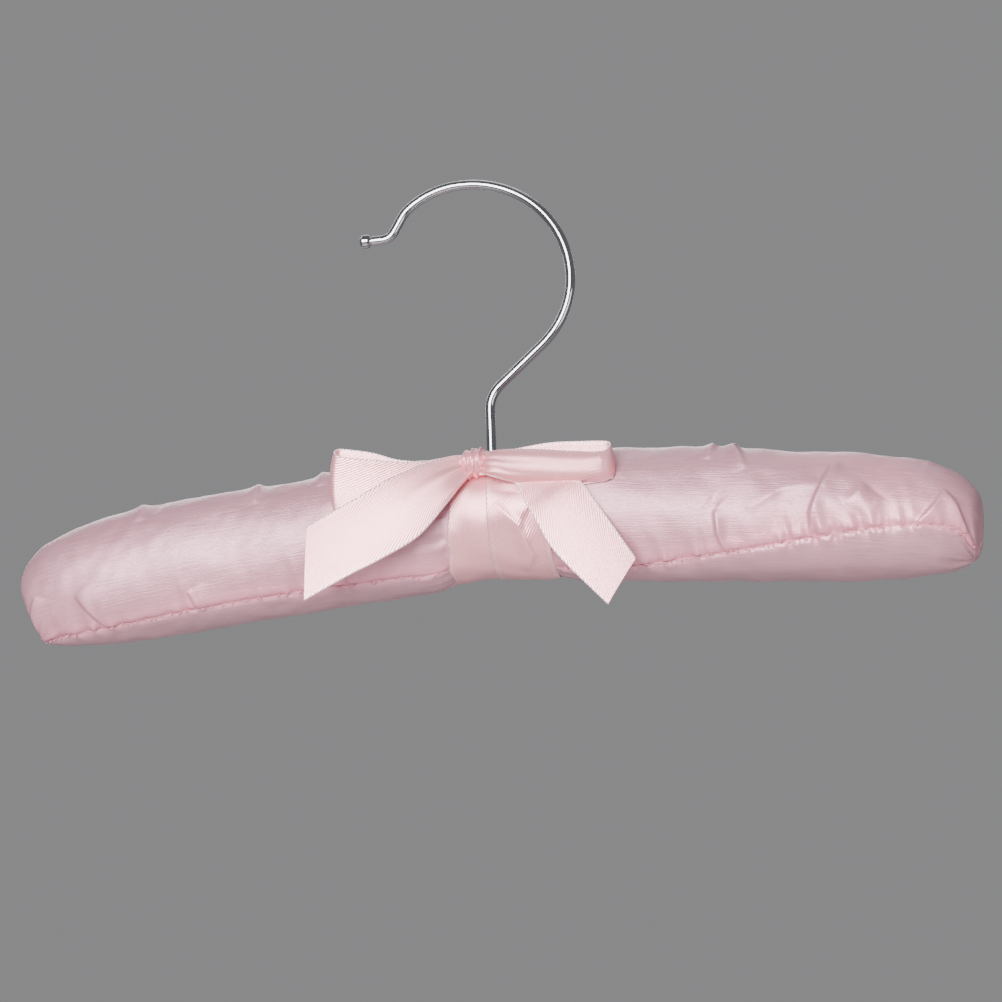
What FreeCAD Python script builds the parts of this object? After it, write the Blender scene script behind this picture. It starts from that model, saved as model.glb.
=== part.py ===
"""Padded satin clothes hanger: a chromed wire hook that swivels in a wooden core, two padded satin
arms, a ribbon wound round the waist and a tied bow.

Millimetres. +Z is up and +X runs along the right-hand arm, seen from the front; the front faces -Y.
The origin is where the hook bears on a rail: the inside of the wire, straight above the swivel axis.
"""

import FreeCAD
import Part
import math
import os
import Sketcher

Vector = FreeCAD.Vector
Rotation = FreeCAD.Rotation

# Driving sizes: alias, value, what it is. Lengths in millimetres, angles in degrees.
SIZES = [
    ("wire_diameter", 3.2, "hook wire"),
    ("crown_radius", 35.6, "top of the hook, to the middle of the wire"),
    ("crown_offset", 6.5, "crown's centre, left of the swivel axis"),
    ("crown_sweep", 95.0, "turn of the crown, from its right-hand side"),
    ("shoulder_radius", 30.7, "lower right of the hook"),
    ("mouth_radius", 29.5, "upper left of the hook"),
    ("mouth_sweep", 33.0, "turn of the upper left"),
    ("tip_radius", 12.0, "tighter bend before the tip"),
    ("tip_sweep", 21.0, "turn of that bend"),
    ("tip_run", 5.6, "straight wire before the lip"),
    ("lip_radius", 5.0, "lip that turns outwards"),
    ("lip_run", 4.0, "straight wire of the lip, up to the knob"),
    ("knob_diameter", 4.6, "ball end of the wire"),
    ("knob_length", 3.4, "ball end, along the wire"),
    ("knob_neck_diameter", 2.5, "groove behind the knob"),
    ("knob_neck_width", 0.7, "groove behind the knob, along the wire"),
    ("neck_turn", 49.0, "turn of the wire above the shank"),
    ("neck_radius", 10.7, "bend of the wire above the shank"),
    ("collar_diameter", 5.2, "stop pressed out of the shank"),
    ("collar_height", 1.2, "stop pressed out of the shank"),
    ("thread_diameter", 3.0, "threaded lower end of the shank"),
    ("thread_proud", 1.0, "thread that shows below the nut"),
    ("nut_across_flats", 5.5, "lock nut"),
    ("nut_height", 4.0, "lock nut"),
    ("nut_crown_height", 1.2, "round crown of the lock nut"),
    ("washer_diameter", 9.0, "washer above the nut"),
    ("washer_thickness", 0.8, "washer above the nut"),
    ("running_clearance", 0.08, "between the shank and its bores, on the radius"),
    ("thrust_clearance", 0.3, "end float of the hook above and below the core"),
    ("ferrule_wall", 1.0, "tube of the ferrule"),
    ("ferrule_flange_diameter", 10.0, "flange of the ferrule"),
    ("ferrule_flange_height", 1.2, "flange of the ferrule"),
    ("recess_diameter", 11.0, "recess for the nut, under the core"),
    ("recess_depth", 7.0, "recess for the nut, under the core"),
    ("body_drop", 114.2, "from the bearing point down to the middle of the waist"),
    ("core_thickness", 12.0, "wooden core, front to back"),
    ("hub_height", 22.0, "wooden core at the swivel"),
    ("hub_half_width", 16.0, "level middle of the core, each side of the axis"),
    ("core_reach", 149.0, "wooden core, from the axis to its tip"),
    ("core_tip_height", 12.0, "wooden core at its tips"),
    ("core_edge_radius", 2.0, "rounding of the core's edges"),
    ("arm_reach", 164.0, "padded arm, from the axis to its end"),
    ("arm_height", 44.4, "padded arm, top to bottom"),
    ("arm_depth", 42.0, "padded arm, front to back"),
    ("arm_slope", 4.8, "fall of the arms"),
    ("end_length", 66.0, "length over which an arm rounds off"),
    ("end_droop", 3.0, "how far the end sinks below the slope"),
    ("waist_squeeze", 2.1, "how far the ribbon presses the padding in, all round"),
    ("waist_swell", 11.0, "length over which the padding fills out again"),
    ("pad_start", 9.0, "inner end of the padding, from the axis"),
    ("fabric_thickness", 0.5, "satin and its lining"),
    ("gather_start", 6.5, "inner end of the gathered satin, from the axis"),
    ("gather_thickness", 1.0, "gathered satin on the core"),
    ("binding_width", 1.5, "thread that binds the gathers"),
    ("binding_thickness", 0.8, "thread that binds the gathers"),
    ("seam_thread_diameter", 0.6, "sewing thread of the long seam"),
    ("seam_start", 34.0, "inner end of the visible seam, from the axis"),
    ("seam_low", 60.0, "left seam and inner end of the right seam, below the front"),
    ("seam_high", 20.0, "outer end of the right seam, below the front"),
    ("seam_length", 124.0, "visible seam, along the arm"),
    ("ribbon_width", 20.0, "satin ribbon"),
    ("ribbon_thickness", 0.4, "satin ribbon"),
    ("wrap_overlap", 5.5, "second turn of the wrap over the first"),
    ("wrap_shift", 4.6, "middle of the wrap, right of the axis"),
    ("wrap_clearance", 0.2, "between the ribbon and the satin under it"),
    ("shank_gap", 0.6, "between the shank and the ribbon round it"),
    ("knot_width", 9.5, "knot of the bow, left to right"),
    ("knot_height", 11.0, "knot of the bow, top to bottom"),
    ("knot_depth", 6.4, "knot of the bow, front to back"),
    ("knot_rounding", 2.2, "rounding of the knot"),
    ("knot_shift", 2.2, "knot, left of the axis"),
    ("knot_rise", 34.0, "knot, up from the front of the waist"),
    ("loop_fullness", 3.2, "loops, between their two faces at the fold"),
    ("loop_root", 1.4, "loops, between their two faces at the knot"),
    ("loop_left_length", 44.0, "left loop, from the knot to its fold"),
    ("loop_left_fall", 5.0, "left loop, below level"),
    ("loop_left_swing", 3.0, "left loop, its fold forward"),
    ("loop_left_lean", 90.0, "left loop, 90 upright, less tips it back"),
    ("loop_left_forward", 2.2, "left loop, in front of the knot's middle"),
    ("loop_left_drop", 0.0, "left loop, below the knot's middle"),
    ("loop_right_length", 43.0, "right loop, from the knot to its fold"),
    ("loop_right_fall", 1.0, "right loop, below level"),
    ("loop_right_swing", -3.0, "right loop, its fold forward"),
    ("loop_right_lean", 58.0, "right loop, 90 upright, less tips it back"),
    ("loop_right_forward", 2.7, "right loop, in front of the knot's middle"),
    ("loop_right_drop", 0.0, "right loop, below the knot's middle"),
    ("tail_root", 7.0, "tails, width where they leave the knot"),
    ("tail_left_lead", 14.0, "left tail, until it is full width"),
    ("tail_left_lead_fall", 40.0, "left tail's first stretch, below level"),
    ("tail_left_length", 46.0, "left tail, its full width stretch"),
    ("tail_left_fall", 28.0, "left tail, below level"),
    ("tail_left_cut", 18.0, "left tail's cut end, how far it slants"),
    ("tail_left_swing", 4.0, "left tail, its end forward"),
    ("tail_left_forward", 3.9, "left tail, in front of the knot's middle"),
    ("tail_right_lead", 22.0, "right tail, until it is full width"),
    ("tail_right_lead_fall", 33.0, "right tail's first stretch, below level"),
    ("tail_right_length", 38.0, "right tail, its full width stretch"),
    ("tail_right_fall", 52.0, "right tail, below level"),
    ("tail_right_cut", -7.0, "right tail's cut end, how far it slants"),
    ("tail_right_swing", 1.0, "right tail, its end forward"),
    ("tail_right_forward", 1.6, "right tail, in front of the knot's middle"),
    ("tail_drop", 3.0, "tails, below the knot's middle"),
]

WORDS = {-1: "left", 1: "right"}
SEAM_RUNS = 9

doc = FreeCAD.newDocument("PaddedHanger")
sheet = doc.addObject("Spreadsheet::Sheet", "Dims")
for row, (alias, number, meaning) in enumerate(SIZES, start=1):
    sheet.set(f"A{row}", meaning)
    sheet.set(f"B{row}", str(number))
    sheet.setAlias(f"B{row}", alias)
doc.recompute()


def dim(name):
    """The expression of a cell of the sheet."""
    return f"Dims.{name}"


def number(expression):
    """The value of an expression."""
    return float(sheet.evalExpression(expression))


def point(place):
    """The sketch point of a pair of expressions."""
    return Vector(number(place[0]), number(place[1]), 0)


def polar(start, angle, length):
    """The place at a length and an angle from another place."""
    return (
        f"({start[0]} + {length} * cos({angle}))",
        f"({start[1]} + {length} * sin({angle}))",
    )


def half(name):
    """Half of a size."""
    return f"({dim(name)} / 2)"


# Levels of the swivel, worked out from the driving sizes, as expressions.
WIRE_RADIUS = half("wire_diameter")
BODY_LEVEL = f"(-{dim('body_drop')})"
HUB_TOP = f"({BODY_LEVEL} + {half('hub_height')})"
HUB_BOTTOM = f"({BODY_LEVEL} - {half('hub_height')})"
RECESS_FLOOR = f"({HUB_BOTTOM} + {dim('recess_depth')})"
FLANGE_TOP = f"({HUB_TOP} + {dim('ferrule_flange_height')})"
COLLAR_BOTTOM = f"({FLANGE_TOP} + {dim('thrust_clearance')})"
WASHER_TOP = f"({RECESS_FLOOR} - {dim('thrust_clearance')})"
NUT_TOP = f"({WASHER_TOP} - {dim('washer_thickness')})"
NUT_BOTTOM = f"({NUT_TOP} - {dim('nut_height')})"
SHANK_END = f"({NUT_BOTTOM} - {dim('thread_proud')})"
BORE_RADIUS = f"({WIRE_RADIUS} + {dim('running_clearance')})"
FERRULE_RADIUS = f"({BORE_RADIUS} + {dim('ferrule_wall')})"
WRAP_WIDTH = f"(2 * {dim('ribbon_width')} - {dim('wrap_overlap')})"

# Places along the wire's middle line, across and up, in the plane of the hook.
CROWN_END = dim("crown_sweep")
MOUTH_END = f"({CROWN_END} + {dim('mouth_sweep')})"
TIP_END = f"({MOUTH_END} + {dim('tip_sweep')})"
RISE = f"(90 - {dim('neck_turn')})"
CROWN_CENTRE = (
    f"(-{dim('crown_offset')})",
    f"(-sqrt(({dim('crown_radius')} - {WIRE_RADIUS})^2 - {dim('crown_offset')}^2))",
)
SHOULDER_CENTRE = polar(CROWN_CENTRE, "0", f"({dim('crown_radius')} - {dim('shoulder_radius')})")
MOUTH_CENTRE = polar(CROWN_CENTRE, CROWN_END, f"({dim('crown_radius')} - {dim('mouth_radius')})")
TIP_CENTRE = polar(MOUTH_CENTRE, MOUTH_END, f"({dim('mouth_radius')} - {dim('tip_radius')})")
TIP_EXIT = polar(TIP_CENTRE, TIP_END, dim("tip_radius"))
LIP_START = polar(TIP_EXIT, f"({TIP_END} + 90)", dim("tip_run"))
LIP_CENTRE = polar(LIP_START, TIP_END, dim("lip_radius"))
LIP_EXIT = polar(LIP_CENTRE, "270", dim("lip_radius"))
WIRE_END = polar(LIP_EXIT, "180", dim("lip_run"))
RISE_END = polar(SHOULDER_CENTRE, f"(-{dim('neck_turn')})", dim("shoulder_radius"))
NECK_START = (
    "0",
    f"({RISE_END[1]} - {RISE_END[0]} * tan({RISE}) - {dim('neck_radius')} * tan({half('neck_turn')}))",
)
NECK_CENTRE = polar(NECK_START, "0", dim("neck_radius"))
RISE_START = polar(NECK_CENTRE, f"(180 - {dim('neck_turn')})", dim("neck_radius"))


# ---------------------------------------------------------------- sketches and features

def body(label):
    """An empty body whose label is the name of its sub-part."""
    new = doc.addObject("PartDesign::Body", label)
    new.Label = label
    return new


def sketch_on(owner, plane, name, shift=("0", "0", "0")):
    """A sketch on one of the body's own origin planes, shifted within and off the plane."""
    sketch = owner.newObject("Sketcher::SketchObject", name)
    support = next(f for f in owner.Origin.OriginFeatures if f.Role == plane)
    sketch.AttachmentSupport = [(support, "")]
    sketch.MapMode = "FlatFace"
    for axis, expression in zip("xyz", shift):
        if expression != "0":
            sketch.setExpression(f"AttachmentOffset.Base.{axis}", expression)
    return sketch


def constrain(sketch, name, expression, *what):
    """A named constraint that follows an expression."""
    index = sketch.addConstraint(Sketcher.Constraint(*what, number(expression)))
    sketch.renameConstraint(index, name)
    sketch.setExpression(f"Constraints.{name}", expression)


def fix_point(sketch, name, geometry, end, place):
    """Holds a point of the sketch at a place, a pair of expressions."""
    across, up = place
    kinds = (("across", "DistanceX", across, -2), ("up", "DistanceY", up, -1))
    for axis, kind, expression, origin_axis in kinds:
        if expression == "0":
            onto = Sketcher.Constraint("PointOnObject", geometry, end, origin_axis)
            sketch.addConstraint(onto)
        else:
            constrain(sketch, f"{name}_{axis}", expression, kind, -1, 1, geometry, end)


def polygon(sketch, name, corners):
    """A closed outline through corners, each a pair of expressions."""
    first = sketch.GeometryCount
    count = len(corners)
    for i in range(count):
        sketch.addGeometry(Part.LineSegment(point(corners[i]), point(corners[(i + 1) % count])))
    for i in range(count):
        after = first + (i + 1) % count
        sketch.addConstraint(Sketcher.Constraint("Coincident", first + i, 2, after, 1))
    for i, corner in enumerate(corners):
        fix_point(sketch, f"{name}_{i}", first + i, 1, corner)


def rectangle(sketch, name, low, high):
    """A rectangle between two places; beside an axis it is the half section of a ring."""
    polygon(sketch, name, [low, (high[0], low[1]), high, (low[0], high[1])])


def circle(sketch, name, radius):
    """A circle round the sketch's origin."""
    index = sketch.addGeometry(Part.Circle(Vector(), Vector(0, 0, 1), number(radius)))
    sketch.addConstraint(Sketcher.Constraint("Coincident", index, 3, -1, 1))
    constrain(sketch, f"{name}_radius", radius, "Radius", index)


def pad(owner, sketch, length, both_ways=False):
    """Raises a sketch by a length."""
    feature = owner.newObject("PartDesign::Pad", f"{sketch.Name}_pad")
    feature.Profile = sketch
    feature.setExpression("Length", length)
    feature.SideType = "Symmetric" if both_ways else "One side"
    return feature


def turned(owner, sketch, axis="V_Axis", kind="PartDesign::Revolution"):
    """Turns a half section about an axis of its sketch; a Groove cuts with it."""
    doc.recompute()
    before = owner.Shape.Volume if owner.Tip else 0.0
    feature = owner.newObject(kind, f"{sketch.Name}_turned")
    feature.Profile = sketch
    feature.ReferenceAxis = (sketch, [axis])
    feature.Angle = 360
    doc.recompute()
    grew = owner.Shape.Volume > before
    if grew == (kind == "PartDesign::Groove"):
        raise RuntimeError(f"{sketch.Name} did not change its body as it should")
    return feature


def boolean(kind, name, base, tool):
    """A Part cut or fuse of two objects."""
    feature = doc.addObject(f"Part::{kind}", name)
    feature.Base = base
    feature.Tool = tool
    feature.Label = name
    return feature


# ---------------------------------------------------------------- hook and its fasteners

def hook_path(owner):
    """The middle line of the wire: shank, neck bend, rise, round hook, tip, lip."""
    sketch = sketch_on(owner, "XZ_Plane", "wire_path")
    bends = {name: dim(f"{name}_radius") for name in ("neck", "shoulder", "crown", "mouth", "tip", "lip")}
    places = {
        "shank_end": ("0", SHANK_END), "neck_start": NECK_START, "rise_start": RISE_START,
        "rise_end": RISE_END, "tip_exit": TIP_EXIT, "lip_start": LIP_START,
        "lip_exit": LIP_EXIT, "wire_end": WIRE_END,
    }
    spot = {name: point(place) for name, place in places.items()}
    turn = math.radians(number(dim("neck_turn")))
    ends = [math.radians(number(angle)) for angle in (CROWN_END, MOUTH_END, TIP_END)]

    def line(start, end):
        return sketch.addGeometry(Part.LineSegment(spot[start], spot[end]))

    def arc(name, centre, start, end):
        ring = Part.Circle(point(centre), Vector(0, 0, 1), number(bends[name]))
        return sketch.addGeometry(Part.ArcOfCircle(ring, start, end))

    shank = line("shank_end", "neck_start")
    neck = arc("neck", NECK_CENTRE, math.pi - turn, math.pi)
    rise = line("rise_start", "rise_end")
    shoulder = arc("shoulder", SHOULDER_CENTRE, -turn, 0)
    crown = arc("crown", CROWN_CENTRE, 0, ends[0])
    mouth = arc("mouth", MOUTH_CENTRE, ends[0], ends[1])
    tip = arc("tip", TIP_CENTRE, ends[1], ends[2])
    tip_line = line("tip_exit", "lip_start")
    lip = arc("lip", LIP_CENTRE, -math.pi / 2, ends[2] - math.pi)
    lip_line = line("lip_exit", "wire_end")
    joined = [
        (shank, 2, neck, 2), (neck, 1, rise, 1), (rise, 2, shoulder, 1),
        (shoulder, 2, crown, 1), (crown, 2, mouth, 1), (mouth, 2, tip, 1),
        (tip, 2, tip_line, 1), (tip_line, 2, lip, 2), (lip, 1, lip_line, 1),
    ]
    for pair in joined:
        sketch.addConstraint(Sketcher.Constraint("Tangent", *pair))
    sketch.addConstraint(Sketcher.Constraint("Vertical", shank))
    sketch.addConstraint(Sketcher.Constraint("Horizontal", lip_line))
    sketch.addConstraint(Sketcher.Constraint("Horizontal", crown, 3, shoulder, 3))
    fix_point(sketch, "shank_end", shank, 1, ("0", SHANK_END))
    fix_point(sketch, "crown_centre", crown, 3, CROWN_CENTRE)
    for name, index in zip(bends, (neck, shoulder, crown, mouth, tip, lip)):
        constrain(sketch, f"{name}_radius", bends[name], "Radius", index)
    constrain(sketch, "tip_run", dim("tip_run"), "Distance", tip_line)
    constrain(sketch, "lip_run", dim("lip_run"), "Distance", lip_line)
    for name, index in (("crown", crown), ("mouth", mouth), ("tip", tip)):
        sweep = math.radians(number(dim(f"{name}_sweep")))
        held = sketch.addConstraint(Sketcher.Constraint("Angle", index, sweep))
        sketch.renameConstraint(held, f"{name}_sweep")
        sketch.setExpression(f"Constraints.{name}_sweep", f"{dim(name + '_sweep')} * 1 deg")
    slope = sketch.addConstraint(Sketcher.Constraint("Angle", -1, 1, rise, 1, math.pi / 2 - turn))
    sketch.renameConstraint(slope, "rise_slope")
    sketch.setExpression("Constraints.rise_slope", f"(90 - {dim('neck_turn')}) * 1 deg")
    return sketch


def hook():
    """One chromed wire with a knob on its tip, a stop collar and a threaded end."""
    owner = body("hook")
    path = hook_path(owner)
    section = sketch_on(owner, "XY_Plane", "wire_section", ("0", "0", SHANK_END))
    circle(section, "wire", WIRE_RADIUS)
    wire = owner.newObject("PartDesign::AdditivePipe", "wire")
    wire.Profile = section
    wire.Spine = (path, [f"Edge{i + 1}" for i in range(path.GeometryCount)])
    wire.Mode = "Frenet"

    at_tip = (WIRE_END[0], WIRE_END[1], "0")
    radius = f"({dim('knob_diameter')} / 2)"
    length = dim("knob_length")
    ball = sketch_on(owner, "XZ_Plane", "knob", at_tip)
    polygon(ball, "knob", [
        ("0", "0"), ("0", f"(0.72 * {radius})"), (f"(-0.2 * {length})", radius),
        (f"(-0.72 * {length})", radius), (f"(-{length})", f"(0.55 * {radius})"), (f"(-{length})", "0"),
    ])
    turned(owner, ball, "H_Axis")
    behind = sketch_on(owner, "XZ_Plane", "knob_neck", at_tip)
    rectangle(behind, "neck", ("0", f"({dim('knob_neck_diameter')} / 2)"),
              (dim("knob_neck_width"), f"({WIRE_RADIUS} + 1)"))
    turned(owner, behind, "H_Axis", "PartDesign::Groove")

    collar = sketch_on(owner, "XZ_Plane", "collar")
    rectangle(collar, "collar", ("0", COLLAR_BOTTOM),
              (f"({dim('collar_diameter')} / 2)", f"({COLLAR_BOTTOM} + {dim('collar_height')})"))
    turned(owner, collar)
    thread = sketch_on(owner, "XZ_Plane", "thread")
    rectangle(thread, "thread", (f"({dim('thread_diameter')} / 2)", f"({SHANK_END} - 1)"),
              (f"({WIRE_RADIUS} + 1)", NUT_TOP))
    turned(owner, thread, kind="PartDesign::Groove")


def hook_nut():
    """A hexagonal lock nut with a round crown, under the washer."""
    owner = body("hook_nut")
    hexagon = sketch_on(owner, "XY_Plane", "hexagon", ("0", "0", f"({NUT_BOTTOM} + {dim('nut_crown_height')})"))
    corner = f"({dim('nut_across_flats')} / 2 / cos(30))"
    polygon(hexagon, "hexagon", [
        polar(("0", "0"), 60 * side + 30, corner) for side in range(6)
    ])
    pad(owner, hexagon, f"({dim('nut_height')} - {dim('nut_crown_height')})")
    crown = sketch_on(owner, "XY_Plane", "nut_crown", ("0", "0", NUT_BOTTOM))
    circle(crown, "nut_crown", f"(0.46 * {dim('nut_across_flats')})")
    pad(owner, crown, dim("nut_crown_height"))
    bore = sketch_on(owner, "XZ_Plane", "nut_bore")
    rectangle(bore, "bore", ("0", f"({NUT_BOTTOM} - 1)"),
              (f"({dim('thread_diameter')} / 2)", f"({NUT_TOP} + 1)"))
    turned(owner, bore, kind="PartDesign::Groove")


def hook_washer():
    """A plain washer between the nut and the floor of the recess."""
    owner = body("hook_washer")
    section = sketch_on(owner, "XZ_Plane", "washer")
    rectangle(section, "washer", (BORE_RADIUS, NUT_TOP), (f"({dim('washer_diameter')} / 2)", WASHER_TOP))
    turned(owner, section)


def hook_ferrule():
    """A flanged tube in the core that the shank turns in."""
    owner = body("hook_ferrule")
    section = sketch_on(owner, "XZ_Plane", "ferrule")
    rim = f"({dim('ferrule_flange_diameter')} / 2)"
    polygon(section, "ferrule", [
        (BORE_RADIUS, RECESS_FLOOR), (FERRULE_RADIUS, RECESS_FLOOR), (FERRULE_RADIUS, HUB_TOP),
        (rim, HUB_TOP), (rim, FLANGE_TOP), (BORE_RADIUS, FLANGE_TOP),
    ])
    turned(owner, section)


# ---------------------------------------------------------------- core and padded arms

def wooden_core():
    """A board that is level at the hub and falls along both arms, bored for the ferrule."""
    owner = body("wooden_core")
    outline = sketch_on(owner, "XZ_Plane", "core_outline")
    hub, reach = dim("hub_half_width"), dim("core_reach")
    tip = f"({BODY_LEVEL} - {reach} * tan({dim('arm_slope')}))"
    tip_top = f"({tip} + {dim('core_tip_height')} / 2)"
    tip_bottom = f"({tip} - {dim('core_tip_height')} / 2)"
    right = [(reach, tip_bottom), (reach, tip_top), (hub, HUB_TOP)]
    left = [(f"(-{reach})", tip_top), (f"(-{reach})", tip_bottom), (f"(-{hub})", HUB_BOTTOM)]
    polygon(outline, "core", [(hub, HUB_BOTTOM)] + right + [(f"(-{hub})", HUB_TOP)] + left)
    blank = pad(owner, outline, dim("core_thickness"), both_ways=True)
    doc.recompute()
    half = number(dim("core_thickness")) / 2
    rims = [
        f"Edge{i + 1}" for i, edge in enumerate(blank.Shape.Edges)
        if abs(abs(edge.CenterOfMass.y) - half) < 0.01
    ]
    rounded = owner.newObject("PartDesign::Fillet", "core_edges")
    rounded.Base = (blank, rims)
    rounded.setExpression("Radius", dim("core_edge_radius"))

    bore = sketch_on(owner, "XZ_Plane", "core_bore")
    recess = f"({dim('recess_diameter')} / 2)"
    below = f"({HUB_BOTTOM} - 1)"
    polygon(bore, "bore", [
        ("0", below), (recess, below), (recess, RECESS_FLOOR),
        (FERRULE_RADIUS, RECESS_FLOOR), (FERRULE_RADIUS, f"({HUB_TOP} + 1)"), ("0", f"({HUB_TOP} + 1)"),
    ])
    turned(owner, bore, kind="PartDesign::Groove")
    return owner


def waist_edge(side):
    """How far the wrap reaches from the axis on one side."""
    return f"({WRAP_WIDTH} / 2 + {side} * {dim('wrap_shift')})"


def arm_stations(side, start, inset):
    """Sections of an arm from the waist to the end: place, centre's height, half height, half depth."""
    edge, swell = waist_edge(side), dim("waist_swell")
    rounding, reach = dim("end_length"), f"({dim('arm_reach')} - {inset})"
    squeeze = dim("waist_squeeze")
    stations = []
    for place, pressed in ((start, 1), (edge, 1), (f"({edge} + 0.45 * {swell})", 0.35), (f"({edge} + {swell})", 0)):
        stations.append((place, "0", f"{pressed} * {squeeze}", "1"))
    stations.append((f"(({edge} + {swell} + {reach} - {rounding}) / 2)", "0", "0", "1"))
    for share in (0, 0.3, 0.55, 0.75, 0.88, 0.95, 0.985, 0.998):
        place = f"({reach} - {1 - share} * {rounding})"
        stations.append((place, f"{share}^3", "0", f"(1 - {share}^3)^(1/3)"))
    sections = []
    for place, sunk, pressed, rounded in stations:
        centre = f"({BODY_LEVEL} - {place} * tan({dim('arm_slope')}) - {sunk} * {dim('end_droop')})"
        half_height = f"(({dim('arm_height')} / 2 - {pressed} - {inset}) * {rounded})"
        half_depth = f"(({dim('arm_depth')} / 2 - {pressed} - {inset}) * {rounded})"
        sections.append((place, centre, half_height, half_depth))
    return sections


def oval(name, side, place, centre, half_height, half_depth):
    """One upright oval across an arm."""
    tall = number(half_height) >= number(half_depth)
    ring = doc.addObject("Part::Ellipse", name)
    ring.setExpression("MajorRadius", half_height if tall else half_depth)
    ring.setExpression("MinorRadius", half_depth if tall else half_height)
    upright = Rotation(Vector(0, 0, 1), Vector(0, 1, 0), Vector(1, 0, 0), "ZYX")
    across = Rotation(Vector(0, 1, 0), Vector(0, 0, 1), Vector(1, 0, 0), "ZXY")
    ring.Placement.Rotation = upright if tall else across
    ring.setExpression("Placement.Base.x", f"({side} * {place})")
    ring.setExpression("Placement.Base.z", centre)
    return ring


def loft(name, rings, ruled=False):
    """A solid through ovals."""
    solid = doc.addObject("Part::Loft", name)
    solid.Sections = rings
    solid.Solid = True
    solid.Ruled = ruled
    return solid


def arm_solid(name, side, start, inset):
    """The whole inside or outside of an arm as a solid."""
    sections = arm_stations(side, start, inset)
    return loft(name, [oval(f"{name}_{i}", side, *s) for i, s in enumerate(sections)])


def arm(side, core):
    """The padding, the satin sleeve and the threads of one arm."""
    word = WORDS[side]
    fabric = dim("fabric_thickness")
    filling = arm_solid(f"filling_{word}", side, dim("pad_start"), fabric)
    skin = arm_solid(f"skin_{word}", side, f"({dim('pad_start')} - {fabric})", "0")
    boolean("Cut", f"foam_pad_{word}", filling, core)
    gathers = doc.addObject("Part::Box", f"gathers_{word}")
    length = f"({dim('pad_start')} - {fabric} - {dim('gather_start')})"
    depth = f"({dim('core_thickness')} + 2 * {dim('gather_thickness')})"
    height = f"({dim('hub_height')} + 2 * {dim('gather_thickness')})"
    gathers.setExpression("Length", length)
    gathers.setExpression("Width", depth)
    gathers.setExpression("Height", height)
    inner = dim("gather_start") if side > 0 else f"(-{dim('gather_start')} - {length})"
    gathers.setExpression("Placement.Base.x", inner)
    gathers.setExpression("Placement.Base.y", f"(-{depth} / 2)")
    gathers.setExpression("Placement.Base.z", f"({BODY_LEVEL} - {height} / 2)")
    hollow = boolean("Cut", f"hollow_sleeve_{word}", skin, filling)
    whole = boolean("Fuse", f"whole_sleeve_{word}", hollow, gathers)
    boolean("Cut", f"satin_sleeve_{word}", whole, core)
    binding_thread(word, side)
    seam_thread(word, side)


def binding_thread(word, side):
    """Turns of thread round the gathered satin, as one band."""
    owner = body(f"binding_thread_{word}")
    middle = f"({side} * ({dim('gather_start')} + {dim('pad_start')} - {dim('fabric_thickness')}) / 2)"
    band = sketch_on(owner, "YZ_Plane", f"binding_{word}", ("0", BODY_LEVEL, middle))
    half_depth = f"({dim('core_thickness')} / 2 + {dim('gather_thickness')})"
    half_height = f"({dim('hub_height')} / 2 + {dim('gather_thickness')})"
    for name, extra in (("inside", "0"), ("outside", dim("binding_thickness"))):
        across, up = f"({half_depth} + {extra})", f"({half_height} + {extra})"
        rectangle(band, name, (f"(-{across})", f"(-{up})"), (across, up))
    pad(owner, band, dim("binding_width"), both_ways=True)


def seam_thread(word, side):
    """Sewing thread along the lower front of a sleeve, in short straight runs."""
    low, high = number(dim("seam_low")), number(dim("seam_high"))
    first, length = number(dim("seam_start")), number(dim("seam_length"))
    spots = []
    for run in range(SEAM_RUNS + 1):
        share = run / SEAM_RUNS
        below = low if side < 0 else low + (high - low) * share
        spots.append(on_arm(first + length * share, side, below))
    radius = number(half("seam_thread_diameter"))
    thread = doc.addObject("Part::Feature", f"seam_thread_{word}")
    rings = []
    for before, spot, after in zip(spots[:1] + spots, spots, spots[1:] + spots[-1:]):
        ring = Part.Wire(Part.makeCircle(radius))
        ring.Placement = FreeCAD.Placement(spot, Rotation(Vector(0, 0, 1), after - before))
        rings.append(ring)
    thread.Shape = Part.makeLoft(rings, True, True)
    thread.Label = f"seam_thread_{word}"


def on_arm(place, side, below):
    """The point of the satin at a place along an arm, some degrees below the front."""
    rounding = number(dim("end_length"))
    share = max(0.0, (place - number(dim("arm_reach")) + rounding) / rounding)
    rounded = (1 - share ** 3) ** (1 / 3)
    centre = number(f"({BODY_LEVEL} - {place} * tan({dim('arm_slope')}))")
    centre -= share ** 3 * number(dim("end_droop"))
    y = -number(half("arm_depth")) * rounded * math.cos(math.radians(below))
    z = centre - number(half("arm_height")) * rounded * math.sin(math.radians(below))
    return Vector(side * place, y, z)


# ---------------------------------------------------------------- ribbon and bow

def wrap_oval(name, side, place, extra):
    """One oval of the wrap, some way outside the pressed satin."""
    centre = f"({BODY_LEVEL} - {place} * tan({dim('arm_slope')}))"
    outside = f"{extra} - {dim('waist_squeeze')}"
    half_height = f"({half('arm_height')} + {outside})"
    half_depth = f"({half('arm_depth')} + {outside})"
    return oval(name, side, place, centre, half_height, half_depth)


def wrap_solid(name, extra, beyond):
    """The outside or the inside of the wound ribbon."""
    left = wrap_oval(f"{name}_left", -1, f"({waist_edge(-1)} + {beyond})", extra)
    middle = wrap_oval(f"{name}_middle", 1, "0", extra)
    right = wrap_oval(f"{name}_right", 1, f"({waist_edge(1)} + {beyond})", extra)
    return loft(name, [left, middle, right], ruled=True)


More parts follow.
